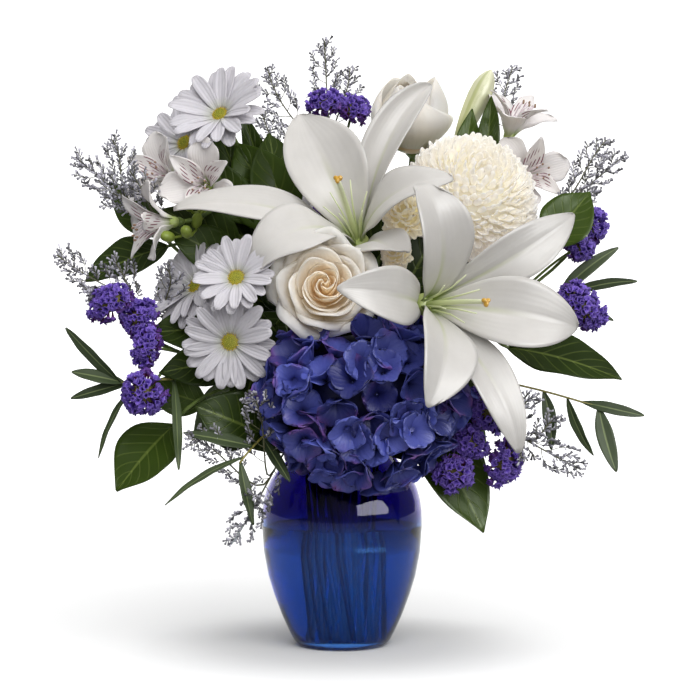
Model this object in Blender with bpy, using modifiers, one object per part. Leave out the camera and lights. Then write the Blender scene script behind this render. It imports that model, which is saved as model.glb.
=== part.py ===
"""A glass ginger-jar vase of lilies, roses, hydrangea, daisies and filler flowers. Metres, +Z up.

The origin is the centre of the vase's flat base. -Y is the front of the arrangement and +X its right.
Every cut stem stands in a hole of its own in the water, leans through the neck and carries its flowers.
"""

import itertools
import math

import bmesh
import bpy
from mathutils import Matrix, Vector
from mathutils.bvhtree import BVHTree

# The vase and its water
GLASS_WALL = 0.003
VASE_FLOOR = 0.006
VASE_SIDES = 20
WATER_LEVEL = 0.089
SEAT_GAP = 0.0003
HOLE_GAP = 0.0004
HOLE_TOP = 0.35
# The outer wall's height and radius, from the base up to the rim
VASE_WALL = [
    (0.0000, 0.0300),
    (0.0040, 0.0365),
    (0.0240, 0.0458),
    (0.0520, 0.0552),
    (0.0890, 0.0600),
    (0.1080, 0.0588),
    (0.1230, 0.0535),
    (0.1370, 0.0425),
    (0.1450, 0.0375),
    (0.1530, 0.0390),
]

# Where the stems stand. Each foot is turned by the twist from its place in the neck, and a bow has steps
FOOT_HEIGHT = 0.0095
NECK_HEIGHT = 0.150
NECK_ROOM = 0.0300
NECK_SPACING = 0.0086
LEAN_TO_NECK = 0.20
STEM_TWIST = math.radians(50)
FOOT_SPREAD = 0.85
BOW_STEP = 0.007
BOW_MOST = 2
THICK_STEM = 0.0030

# Thicknesses of what grows
LILY_PETAL = 0.0010
FILLER_STEM = 0.0018
PETAL = 0.0008
LEAF = 0.0008

scene = bpy.context.scene
for old in list(bpy.data.objects):
    bpy.data.objects.remove(old, do_unlink=True)
arrangement = bpy.data.collections.new("vase_of_flowers")
scene.collection.children.link(arrangement)
cutters = bpy.data.collections.new("stem_holes")
scene.collection.children.link(cutters)


def finish(name, colour, roughness, alpha=1.0):
    """A Principled material of one colour."""
    material = bpy.data.materials.new(name)
    material.use_nodes = True
    shader = material.node_tree.nodes["Principled BSDF"]
    shader.inputs["Base Color"].default_value = (*colour, 1.0)
    shader.inputs["Roughness"].default_value = roughness
    shader.inputs["Metallic"].default_value = 0.0
    shader.inputs["Alpha"].default_value = alpha
    return material


GLASS = finish("cobalt_glass", (0.01, 0.04, 0.35), 0.04, 0.45)
WATER = finish("water", (0.02, 0.10, 0.50), 0.02, 0.35)
GREEN_STEM = finish("green_stem", (0.13, 0.22, 0.04), 0.55)
DARK_LEAF = finish("dark_leaf", (0.03, 0.09, 0.015), 0.45)
GREY_LEAF = finish("grey_leaf", (0.07, 0.12, 0.06), 0.6)
WHITE_LILY = finish("white_lily", (0.85, 0.85, 0.82), 0.5)
WHITE_DAISY = finish("white_daisy", (0.85, 0.85, 0.9), 0.55)
WHITE_ALSTRO = finish("white_alstroemeria", (0.86, 0.83, 0.84), 0.5)
CREAM_ROSE = finish("cream_rose", (0.85, 0.76, 0.62), 0.6)
CREAM_MUM = finish("cream_mum", (0.88, 0.84, 0.66), 0.6)
BLUE_HYDRANGEA = finish("blue_hydrangea", (0.04, 0.06, 0.42), 0.55)
PURPLE_STATICE = finish("purple_statice", (0.10, 0.03, 0.42), 0.65)
GREY_LIMONIUM = finish("grey_limonium", (0.38, 0.37, 0.48), 0.7)


def placed(base, facing, roll=0.0):
    """The frame of a flower that sits at base and looks along facing, its local +Z; local +Y leans up."""
    turn = Vector(facing).normalized().to_track_quat("Z", "Y").to_matrix().to_4x4()
    return Matrix.Translation(Vector(base)) @ turn @ Matrix.Rotation(math.radians(roll), 4, "Z")


def loose(bm, name="piece"):
    """A mesh object of this bmesh, not yet in any collection."""
    mesh = bpy.data.meshes.new(name)
    bm.to_mesh(mesh)
    bm.free()
    return bpy.data.objects.new(name, mesh)


def evaluated_mesh(obj):
    graph = bpy.context.evaluated_depsgraph_get()
    return bpy.data.meshes.new_from_object(obj.evaluated_get(graph))


def fuse(name, pieces, material):
    """One Boolean union makes the pieces a single body, the node of that name."""
    first = pieces[0]
    arrangement.objects.link(first)
    if len(pieces) > 1:
        group = bpy.data.collections.new(name + "_pieces")
        scene.collection.children.link(group)
        for piece in pieces[1:]:
            group.objects.link(piece)
        join = first.modifiers.new("join", "BOOLEAN")
        join.operation = "UNION"
        join.operand_type = "COLLECTION"
        join.collection = group
        join.solver = "MANIFOLD"
        joined = evaluated_mesh(first)
        first.modifiers.clear()
        first.data = joined
        for piece in pieces[1:]:
            bpy.data.objects.remove(piece, do_unlink=True)
        bpy.data.collections.remove(group)
    first.name = name
    first.data.name = name
    first.data.materials.clear()
    first.data.materials.append(material)
    return first


def turned(name, profile, sides, material):
    """A body turned about Z from an outline that starts and ends on the axis."""
    bm = bmesh.new()
    points = [bm.verts.new((radius, 0.0, height)) for radius, height in profile]
    for start, end in zip(points, points[1:]):
        bm.edges.new((start, end))
    obj = loose(bm, name)
    arrangement.objects.link(obj)
    screw = obj.modifiers.new("turn", "SCREW")
    screw.steps = sides
    screw.render_steps = sides
    screw.use_merge_vertices = True
    screw.merge_threshold = 0.0001
    screw.use_smooth_shade = True
    obj.data.materials.append(material)
    return obj


def tube(points, radius, resolution=1):
    """A stem through the points, four sides with resolution 0 and six with 1."""
    curve = bpy.data.curves.new("stem", "CURVE")
    curve.dimensions = "3D"
    curve.bevel_depth = radius
    curve.bevel_resolution = resolution
    curve.use_fill_caps = True
    spline = curve.splines.new("POLY")
    spline.points.add(len(points) - 1)
    for knot, point in zip(spline.points, points):
        knot.co = (*point, 1.0)
    guide = bpy.data.objects.new("stem_guide", curve)
    scene.collection.objects.link(guide)
    mesh = evaluated_mesh(guide)
    bpy.data.objects.remove(guide, do_unlink=True)
    bpy.data.curves.remove(curve)
    bm = bmesh.new()
    bm.from_mesh(mesh)
    bmesh.ops.remove_doubles(bm, verts=bm.verts[:], dist=1e-6)
    bpy.data.meshes.remove(mesh)
    return loose(bm)


def bezier(start, start_way, end, end_way, steps, bow=(0, 0, 0)):
    """Points from start to end, leaving along start_way, arriving along end_way and bowed aside between."""
    start, end, bow = Vector(start), Vector(end), Vector(bow)
    reach = (end - start).length * 0.4
    first = start + Vector(start_way).normalized() * reach
    second = end - Vector(end_way).normalized() * reach
    points = []
    for step in range(steps + 1):
        t = step / steps
        s = 1 - t
        between = first * 3 * s * s * t + second * 3 * s * t * t + bow * 4 * s * t
        points.append(start * s**3 + between + end * t**3)
    return points


def width_share(u, root, belly, tip, taper=1.0, throat=1.0):
    """How wide a blade is at u along it, as a share of its widest, which lies at belly."""
    if u < belly:
        return root + (1 - root) * math.sin(math.pi / 2 * u / belly) ** throat
    return tip + (1 - tip) * math.cos(math.pi / 2 * (u - belly) / (1 - belly)) ** taper


def blade(frame, length, width, lean, thickness, steps=4, lanes=2, root=0.3, belly=0.55, tip=0.1, taper=1.0,
          start=0.0, dish=0.0, throat=1.0):
    """A petal or leaf: a grid bent along its spine and dished across it, then thickened.

    lean gives the angle between the spine and the flower's axis at the root, the middle and the tip, in
    degrees. It has this many steps along it and lanes across it. start is how far from the axis the root
    lies, and dish lifts the edges, in half widths.
    """
    bm = bmesh.new()
    bmesh.ops.create_grid(bm, x_segments=steps, y_segments=lanes, size=1.0)
    spine = []
    radius, height = start, 0.0
    for step in range(steps + 1):
        u = step / steps
        angle = math.radians(lean[0] * (1 - u) ** 2 + lean[1] * 2 * u * (1 - u) + lean[2] * u * u)
        spine.append((radius, height, angle))
        radius += math.sin(angle) * length / steps
        height += math.cos(angle) * length / steps
    for vert in bm.verts:
        u = (vert.co.x + 1) / 2
        v = vert.co.y
        radius, height, angle = spine[round(u * steps)]
        half = width / 2 * width_share(u, root, belly, tip, taper, throat)
        lift = dish * half * v * v
        vert.co = (radius - math.cos(angle) * lift, v * half, height + math.sin(angle) * lift)
    bmesh.ops.triangulate(bm, faces=bm.faces[:])
    bmesh.ops.solidify(bm, geom=bm.faces[:], thickness=thickness)
    bmesh.ops.transform(bm, matrix=frame, verts=bm.verts[:])
    bmesh.ops.recalc_face_normals(bm, faces=bm.faces[:])
    return loose(bm)


def around(frame, azimuth):
    """The flower's frame turned so that a petal points to this azimuth, 0 to the right and 90 up."""
    return frame @ Matrix.Rotation(math.radians(azimuth), 4, "Z")


def cone(frame, radius_low, radius_high, low, high, sides):
    """A cone or drum on the flower's axis between two heights."""
    bm = bmesh.new()
    centre = frame @ Matrix.Translation((0, 0, (low + high) / 2))
    bmesh.ops.create_cone(
        bm, cap_ends=True, segments=sides, radius1=radius_low, radius2=radius_high, depth=high - low,
        matrix=centre)
    return loose(bm)


def ball(frame, size, rings=5, sides=8, centre=(0, 0, 0)):
    """An ellipsoid of these half-sizes."""
    bm = bmesh.new()
    shape = frame @ Matrix.Translation(centre) @ Matrix.Diagonal((*size, 1.0))
    bmesh.ops.create_uvsphere(bm, u_segments=sides, v_segments=rings, radius=1.0, matrix=shape)
    return loose(bm)


# How far in the rim comes between two lobes, and how deep the hollow is
FUNNEL_NOTCH = 0.56
FUNNEL_HOLLOW = 0.12


def funnel(point, outward, roll, radius, depth, petals):
    """A small flower as a lobed funnel: a lobe of the rim for each petal, and a shallow hollow on top."""
    bm = bmesh.new()
    count = petals * 2
    bmesh.ops.create_cone(
        bm, cap_ends=True, cap_tris=True, segments=count, radius1=0.0, radius2=radius, depth=depth,
        matrix=Matrix.Translation((0, 0, -depth / 2)))
    for vert in bm.verts:
        if vert.co.z < -depth / 2:
            continue
        turn = round(math.atan2(vert.co.y, vert.co.x) / (2 * math.pi) * count)
        on_rim = math.hypot(vert.co.x, vert.co.y) > radius / 2
        if on_rim and turn % 2 == 0:
            vert.co = (vert.co.x * FUNNEL_NOTCH, vert.co.y * FUNNEL_NOTCH, -depth * FUNNEL_HOLLOW)
        elif not on_rim:
            vert.co.z = -depth * FUNNEL_HOLLOW
    bmesh.ops.transform(bm, matrix=placed(point, outward, roll), verts=bm.verts[:])
    bmesh.ops.recalc_face_normals(bm, faces=bm.faces[:])
    return loose(bm)


def spread_over_ball(count, lowest):
    """Directions spaced evenly over a ball about +Z, from the pole down to the height called lowest."""
    golden = math.pi * (3 - math.sqrt(5))
    for index in range(count):
        z = 1 - (1 - lowest) * (index + 0.5) / count
        ring = math.sqrt(1 - z * z)
        yield Vector((ring * math.cos(golden * index), ring * math.sin(golden * index), z))


# The vase: the outer wall, and the inner wall a glass thickness inside it
def wall_radius(height, inset=0.0):
    """The outer wall's radius at a height, less an inset."""
    for (low, inner), (high, outer) in zip(VASE_WALL, VASE_WALL[1:]):
        if height <= high:
            return inner + (outer - inner) * (height - low) / (high - low) - inset
    return VASE_WALL[-1][1] - inset


def inner_wall(inset, top):
    """(radius, height) up the inside, inset from the outer wall square to its slope."""
    points = []
    for (low, r_low), (height, radius), (high, r_high) in zip(VASE_WALL, VASE_WALL[1:], VASE_WALL[2:]):
        slope = Vector((r_high - r_low, high - low)).normalized()
        point = (radius - inset * slope.y, height + inset * slope.x)
        if VASE_FLOOR + 0.004 < point[1] < top - 0.002:
            points.append(point)
    return points


def build_vase():
    floor_radius = wall_radius(VASE_FLOOR, GLASS_WALL + 0.002)
    rim = VASE_WALL[-1]
    inside = [(0, VASE_FLOOR), (floor_radius, VASE_FLOOR)] + inner_wall(GLASS_WALL, rim[0])
    lip = [(rim[1] - GLASS_WALL, rim[0]), (rim[1] - GLASS_WALL / 2, rim[0] + GLASS_WALL / 2)]
    outside = [(radius, height) for height, radius in reversed(VASE_WALL)]
    turned("vase", inside + lip + outside + [(0, 0)], VASE_SIDES, GLASS)


def build_water():
    inset = GLASS_WALL + SEAT_GAP
    floor_radius = wall_radius(VASE_FLOOR, GLASS_WALL + 0.002)
    side = inner_wall(inset, WATER_LEVEL)
    top = (wall_radius(WATER_LEVEL, inset), WATER_LEVEL)
    profile = [(0, WATER_LEVEL), top] + side[::-1] + [(floor_radius - SEAT_GAP, VASE_FLOOR + SEAT_GAP)]
    water = turned("water", profile + [(0, VASE_FLOOR + SEAT_GAP)], VASE_SIDES, WATER)
    holes = water.modifiers.new("stem_holes", "BOOLEAN")
    holes.operand_type = "COLLECTION"
    holes.collection = cutters
    holes.operation = "DIFFERENCE"
    holes.solver = "MANIFOLD"


# The stems by name: radius, lean, sides and ends, an end being (point, the way it ends, radius, fork).
# The first end is the stem's own, and the others fork from it at that share of its free length.
STEMS = {}


def neck_places():
    """Each stem's place in the neck: on the side that it leans to, pushed apart until no two touch."""
    names = list(STEMS)
    places = [STEMS[name]["lean"] * LEAN_TO_NECK for name in names]
    for _ in range(600):
        for i in range(len(places)):
            for j in range(i):
                apart = places[i] - places[j]
                short = NECK_SPACING - apart.length
                if short > 0:
                    push = (apart.normalized() if apart.length > 1e-6 else Vector((1, 0))) * short / 2
                    places[i] = places[i] + push
                    places[j] = places[j] - push
        for i, place in enumerate(places):
            room = NECK_ROOM - STEMS[names[i]]["radius"]
            if place.length > room:
                places[i] = place.normalized() * room
    return dict(zip(names, places))


def along_path(path, share):
    """The point at this share of a path's points."""
    where = share * (len(path) - 1)
    before = min(int(where), len(path) - 2)
    return path[before].lerp(path[before + 1], where - before)


def stem_foot(place):
    """Where the stem that has this place in the neck stands on the floor of the vase."""
    return Vector((*((Matrix.Rotation(STEM_TWIST, 2) @ place) * FOOT_SPREAD), FOOT_HEIGHT))


def stem_paths(name, place, bow):
    """The points of a stem, from its foot to its flower, and of the branches that fork from it."""
    facts = STEMS[name]
    foot = stem_foot(place)
    neck = Vector((*place, NECK_HEIGHT))
    end, way = facts["ends"][0][:2]
    main = bezier(neck, neck - foot, end, way, facts["steps"], bow)
    paths = [[foot] + main]
    for end, way, _, fork in facts["ends"][1:]:
        start = along_path(main, fork)
        start_way = along_path(main, min(1.0, fork + 0.1)) - start
        paths.append(bezier(start, start_way, end, way, 2))
    return paths


def stem_hole(name, place):
    """The cutter that leaves the stem its hole in the water."""
    foot = stem_foot(place)
    neck = Vector((*place, NECK_HEIGHT))
    bottom = foot + (foot - neck).normalized() * SEAT_GAP
    top = neck.lerp(foot, HOLE_TOP)
    hole = tube([bottom, top], STEMS[name]["radius"] + HOLE_GAP, STEMS[name]["resolution"])
    hole.name = name + "_hole"
    hole.hide_render = True
    hole.display_type = "WIRE"
    cutters.objects.link(hole)


# Lilies: six recurved petals round a throat, a long pistil, and no anthers
LILY_STEP = 0.0022
LILY_HEART = (0.0085, 0.0085, 0.0075)
LILY_HEART_HEIGHT = 0.0080
LILY_OUTER = {"width": 0.036, "lean": (24, 62, 104), "start": 0.0060, "dish": 0.10}
LILY_INNER = {"width": 0.052, "lean": (10, 54, 100), "start": 0.0032, "dish": 0.20}
# Each petal is (azimuth, length, kind)
LILIES = {
    "lily_left": {
        "base": (0.013, -0.018, 0.296), "facing": (-0.20, -0.76, 0.62),
        "petals": [(8, 0.106, "inner"), (62, 0.138, "outer"), (118, 0.114, "inner"),
                   (192, 0.146, "outer"), (226, 0.106, "inner"), (318, 0.076, "outer")],
    },
    "lily_right": {
        "base": (0.056, -0.058, 0.252), "facing": (0.54, -0.84, 0.06),
        "petals": [(104, 0.110, "inner"), (36, 0.134, "outer"), (345, 0.124, "inner"),
                   (246, 0.112, "inner"), (290, 0.134, "outer"), (180, 0.118, "outer")],
    },
}
PISTIL = {"length": 0.066, "radius": 0.0017, "stigma": 0.0036}
# The bud's rings, each a share of its length and of its radius
BUD_RINGS = [(0.0, 0.30), (0.18, 0.62), (0.45, 0.92), (0.72, 1.0), (0.90, 0.72), (1.0, 0.22)]
LILY_BUD = {"base": (0.090, 0.070, 0.382), "facing": (0.42, 0.0, 0.90), "length": 0.066,
            "radius": 0.0095}


def lily(name, base, facing, petals):
    frame = placed(base, facing)
    pieces = [ball(frame, LILY_HEART, 5, 8, (0, 0, LILY_HEART_HEIGHT))]
    for azimuth, length, kind in petals:
        shape = LILY_INNER if kind == "inner" else LILY_OUTER
        root = around(frame, azimuth) @ Matrix.Translation((0, 0, LILY_STEP))
        pieces.append(blade(
            root, length, shape["width"], shape["lean"], LILY_PETAL, steps=5, lanes=2, root=0.10, belly=0.60,
            tip=0.08, start=shape["start"], dish=shape["dish"], throat=1.7))
    top = frame @ Vector((0, 0, PISTIL["length"]))
    pieces.append(tube([frame @ Vector((0, 0, LILY_HEART_HEIGHT)), top], PISTIL["radius"], 0))
    pieces.append(ball(frame, [PISTIL["stigma"]] * 3, 3, 6, (0, 0, PISTIL["length"])))
    fuse(name, pieces, WHITE_LILY)


def lily_bud(base, facing, length, radius):
    """The closed bud, slim and round, drawn through rings of these heights and radii."""
    bm = bmesh.new()
    rings = []
    for height, share in BUD_RINGS:
        ring = bmesh.ops.create_circle(
            bm, segments=9, radius=radius * share, matrix=Matrix.Translation((0, 0, height * length)))
        rings.append(list({edge for vert in ring["verts"] for edge in vert.link_edges}))
    for low, high in zip(rings, rings[1:]):
        bmesh.ops.bridge_loops(bm, edges=low + high)
    bmesh.ops.holes_fill(bm, edges=rings[0] + rings[-1])
    bmesh.ops.transform(bm, matrix=placed(base, facing), verts=bm.verts[:])
    bmesh.ops.recalc_face_normals(bm, faces=bm.faces[:])
    fuse("lily_bud", [loose(bm)], WHITE_LILY)


# Roses: cupped petals in turns round a tight heart
# Each whorl is (petals, radius at the root, at the belly and at the rim, height, half span in degrees).
# Petals outside the inner ones have a lane more. One edge of each is tucked inside its neighbour
ROSE_WHORLS = [
    (2, 0.0030, 0.0065, 0.0055, 0.0340, 96),
    (3, 0.0055, 0.0130, 0.0120, 0.0350, 72),
    (3, 0.0080, 0.0205, 0.0200, 0.0345, 72),
    (4, 0.0105, 0.0285, 0.0350, 0.0310, 56),
]
ROSE_INNER = 0.021
ROSE_TUCK = 0.0024
ROSE_SEAT = 0.0035
ROSES = {
    "rose_front": {"base": (-0.012, -0.051, 0.260), "facing": (0.0, -0.97, 0.20), "size": 1.0, "whorls": 4},
    "rose_back": {"base": (0.056, 0.086, 0.380), "facing": (-0.05, -0.50, 0.86), "size": 1.42, "whorls": 3},
}


def cupped(frame, azimuth, root, belly, rim, height, half_span, size):
    """A rose petal: a cupped shell that stands on the receptacle, one edge tucked inside its neighbour."""
    bm = bmesh.new()
    bmesh.ops.create_grid(bm, x_segments=2, y_segments=3 if belly > ROSE_INNER else 2, size=1.0)
    for vert in bm.verts:
        u, v = (vert.co.x + 1) / 2, vert.co.y
        tuck = ROSE_TUCK * v * (0.4 + 0.6 * u)
        radius = root * (1 - u) ** 2 + belly * 2.6 * u * (1 - u) + rim * u * u + tuck
        angle = math.radians(azimuth + v * half_span * (0.70 + 0.30 * math.sin(math.pi * u)))
        rise = ROSE_SEAT + height * (1 - 0.10 * v * v) * u
        vert.co = Vector((radius * math.cos(angle), radius * math.sin(angle), rise)) * size
    bmesh.ops.triangulate(bm, faces=bm.faces[:])
    bmesh.ops.solidify(bm, geom=bm.faces[:], thickness=PETAL)
    bmesh.ops.transform(bm, matrix=frame, verts=bm.verts[:])
    bmesh.ops.recalc_face_normals(bm, faces=bm.faces[:])
    return loose(bm)


def rose(name, base, facing, size, whorls):
    frame = placed(base, facing)
    pieces = [cone(frame, 0.008 * size, 0.0135 * size, 0.0, 0.0085 * size, 9)]
    for turn, (count, root, belly, rim, height, half_span) in enumerate(ROSE_WHORLS[:whorls]):
        for index in range(count):
            azimuth = 360 / count * index + 37 * turn
            pieces.append(cupped(frame, azimuth, root, belly, rim, height, half_span, size))
    fuse(name, pieces, CREAM_ROSE)


# Hydrangea: four-lobed florets over a rounded head, left out where the front rose sits on it
FLORET_PROUD = 0.62
HEAD_CENTRE = 0.006
ROSE_HEART_OUT = 0.022
ROSE_ROOM = 0.050
HYDRANGEA = {
    "base": (0.016, -0.056, 0.186), "facing": (0.03, -0.99, 0.08),
    "core": (0.058, 0.049, 0.034), "florets": 28, "floret": 0.0180, "depth": 0.0135, "lowest": -0.02,
}


def hydrangea(base, facing, core, florets, floret, depth, lowest):
    frame = placed(base, facing)
    pieces = [ball(frame, core, 6, 9, (0, 0, HEAD_CENTRE))]
    rose_facts = ROSES["rose_front"]
    rose_heart = Vector(rose_facts["base"]) + Vector(rose_facts["facing"]) * ROSE_HEART_OUT
    for index, way in enumerate(spread_over_ball(florets, lowest)):
        on_core = Vector((way.x * core[0], way.y * core[1], way.z * core[2] + HEAD_CENTRE))
        outward = Vector((way.x / core[0], way.y / core[1], way.z / core[2])).normalized()
        point = frame @ (on_core + outward * (depth * FLORET_PROUD))
        if (point - rose_heart).length < ROSE_ROOM:
            continue
        pieces.append(funnel(point, frame.to_3x3() @ outward, index * 57, floret, depth, 4))
    fuse("hydrangea_head", pieces, BLUE_HYDRANGEA)


# Football chrysanthemum and the small cream blooms: blunt petals crowded over a ball
CROWDED_SINK = 0.4
CROWDED_LEAN = 0.35
CROWDED_FLATNESS = (1.3, 0.55, 1.0, 1.0)
MUM = {"base": (0.086, 0.036, 0.312), "facing": (0.24, -0.80, 0.55), "core": 0.041, "petals": 36,
       "petal": (0.0134, 0.0180), "lowest": -0.40, "centre": 0.034}
SMALL_BLOOMS = {
    "cream_bloom_upper": {"base": (0.047, -0.025, 0.309), "facing": (-0.05, -0.80, 0.60), "core": 0.0105,
                          "petals": 10, "petal": (0.0076, 0.0095), "lowest": -0.35, "centre": 0.010},
    "cream_bloom_lower": {"base": (0.040, -0.048, 0.286), "facing": (-0.10, -0.95, 0.30), "core": 0.0065,
                          "petals": 7, "petal": (0.0058, 0.0070), "lowest": -0.30, "centre": 0.0065},
}


def crowded(name, base, facing, core, petals, petal, lowest, centre):
    frame = placed(base, facing)
    width, length = petal
    pieces = [ball(frame, (core, core, centre), 4, 7, (0, 0, centre))]
    for index, way in enumerate(spread_over_ball(petals, lowest)):
        root = frame @ Vector((way.x * core, way.y * core, way.z * centre + centre))
        outward = frame.to_3x3() @ way
        leaning_in = outward + frame.to_3x3() @ Vector((0, 0, CROWDED_LEAN))
        turn = placed(root - outward * CROWDED_SINK * length, leaning_in, index * 40)
        flattened = turn @ Matrix.Diagonal(CROWDED_FLATNESS)
        pieces.append(cone(flattened, width * 0.5, width * 0.34, 0, length, 4))
    fuse(name, pieces, CREAM_MUM)


# Daisies: a low disc whose side faces are drawn out into petals
DAISY_PETALS = 12
DAISY_DISC = 0.0080
DAISY_BACK = 0.0022
DAISY_LAYER = 0.0012
DAISY_CROWN = (0.0008, 0.0022)
# A petal's stations: share of the daisy's radius, and width as a share of the room that a petal has there
DAISY_STATIONS = [(0.72, 0.86), (1.0, 0.38)]
# Each is (centre of the daisy's back, facing, radius, how far the tips stand forward as a share of that)
DAISIES = {
    "daisy_top": ((-0.090, -0.008, 0.394), (-0.32, -0.78, 0.54), 0.040, 0.14),
    "daisy_top_left": ((-0.121, 0.046, 0.380), (-0.50, -0.78, 0.30), 0.036, 0.10),
    "daisy_middle": ((-0.074, -0.071, 0.270), (-0.20, -0.87, 0.42), 0.032, 0.14),
    "daisy_low": ((-0.079, -0.066, 0.226), (-0.12, -0.98, -0.10), 0.035, 0.08),
    "daisy_side": ((-0.104, -0.024, 0.266), (-0.70, -0.50, 0.42), 0.035, 0.12),
    "daisy_back_left": ((-0.052, 0.078, 0.325), (-0.35, 0.82, 0.40), 0.035, 0.12),
    "daisy_back_right": ((0.048, 0.092, 0.290), (0.30, 0.88, 0.30), 0.035, 0.12),
}


def daisy(name, base, facing, radius, dish):
    bm = bmesh.new()
    bmesh.ops.create_cone(
        bm, cap_ends=True, segments=DAISY_PETALS, radius1=DAISY_DISC, radius2=DAISY_DISC, depth=DAISY_BACK,
        matrix=Matrix.Translation((0, 0, DAISY_BACK / 2)),
    )
    sides = [face for face in bm.faces if len(face.verts) == 4]
    caps = [face for face in bm.faces if len(face.verts) != 4]
    crown = max(caps, key=lambda face: face.calc_center_median().z)
    room = 2 * math.sin(math.pi / DAISY_PETALS)
    for index, side in enumerate(sides):
        centre = side.calc_center_median()
        outward = Vector((centre.x, centre.y, 0)).normalized()
        across = Vector((-outward.y, outward.x, 0))
        for reach, share in DAISY_STATIONS:
            side = bmesh.ops.extrude_discrete_faces(bm, faces=[side])["faces"][0]
            away = reach * radius
            height = DAISY_BACK / 2 + dish * (away - DAISY_DISC) * (2 - reach) + DAISY_LAYER * (index % 2)
            for vert in side.verts:
                aside = math.copysign(room * away * share / 2, vert.co.dot(across))
                above = math.copysign(PETAL / 2, vert.co.z - centre.z)
                vert.co = outward * away + across * aside + Vector((0, 0, height + above))
            centre = Vector((0, 0, height))
    bmesh.ops.inset_region(bm, faces=[crown], thickness=DAISY_CROWN[0], depth=DAISY_CROWN[1])
    bmesh.ops.transform(bm, matrix=placed(base, facing), verts=bm.verts[:])
    bmesh.ops.recalc_face_normals(bm, faces=bm.faces[:])
    fuse(name, [loose(bm)], WHITE_DAISY)


# Alstroemeria: three broad petals outside three narrow ones, in a funnel
ALSTRO_OUTER = {"length": 0.041, "width": 0.023, "lean": (22, 50, 92), "belly": 0.74, "tip": 0.45,
                "start": 0.0027, "steps": 3}
ALSTRO_INNER = {"length": 0.044, "width": 0.015, "lean": (8, 34, 72), "belly": 0.50, "tip": 0.30,
                "start": 0.0016, "steps": 2}
# Each is (base, facing, roll)
ALSTROEMERIAS = {
    "alstroemeria_left_front": ((-0.098, -0.012, 0.341), (-0.22, -0.95, 0.12), 20),
    "alstroemeria_left_back": ((-0.124, 0.016, 0.346), (-0.58, -0.66, 0.36), 50),
    "alstroemeria_left_low": ((-0.120, -0.030, 0.314), (-0.90, -0.38, -0.08), 5),
    "alstroemeria_right_top": ((0.129, 0.058, 0.384), (0.32, -0.35, 0.88), 30),
    "alstroemeria_right": ((0.141, 0.064, 0.354), (0.22, -0.93, 0.15), 75),
}


def alstroemeria(name, base, facing, roll):
    frame = placed(base, facing, roll)
    pieces = [cone(frame, 0.0032, 0.0048, 0.0, 0.007, 6)]
    for index in range(6):
        shape = ALSTRO_OUTER if index % 2 else ALSTRO_INNER
        root = around(frame, 60 * index) @ Matrix.Translation((0, 0, 0.002))
        pieces.append(blade(root, thickness=PETAL, lanes=1, root=0.10, throat=1.6, **shape))
    fuse(name, pieces, WHITE_ALSTRO)


# Stems, with the green cups under their flowers
CUP_GAP = 0.0004


def cup(base, facing, radius, height):
    """The calyx that a flower sits in, its top a seat gap under the flower's base."""
    frame = placed(base, facing)
    return cone(frame, radius * 0.45, radius, -height, -CUP_GAP, 6)


def under(base, facing, depth):
    """The point this far behind a flower's base."""
    return Vector(base) - Vector(facing).normalized() * depth


def flower_end(base, facing, radius, depth):
    """A stem's end, buried in the cup of this depth."""
    return (under(base, facing, depth * 0.7), facing, radius)


def leaf(base, tip, facing, width, arch=14, belly=0.42, taper=1.0, steps=4, lanes=2, dish=0.10, root=0.04):
    """A leaf from its base to its tip, its upper side towards facing, arched along its length."""
    base, tip, facing = Vector(base), Vector(tip), Vector(facing)
    along = (tip - base).normalized()
    up = (facing - along * facing.dot(along)).normalized()
    side = up.cross(along)
    frame = Matrix.Translation(base) @ Matrix((along, side, up)).transposed().to_4x4()
    return blade(frame, (tip - base).length * 1.02, width, (90 - arch, 90, 90 + arch), LEAF, steps=steps,
                 lanes=lanes, root=root, belly=belly, tip=0.06, taper=taper, dish=dish)


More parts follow.
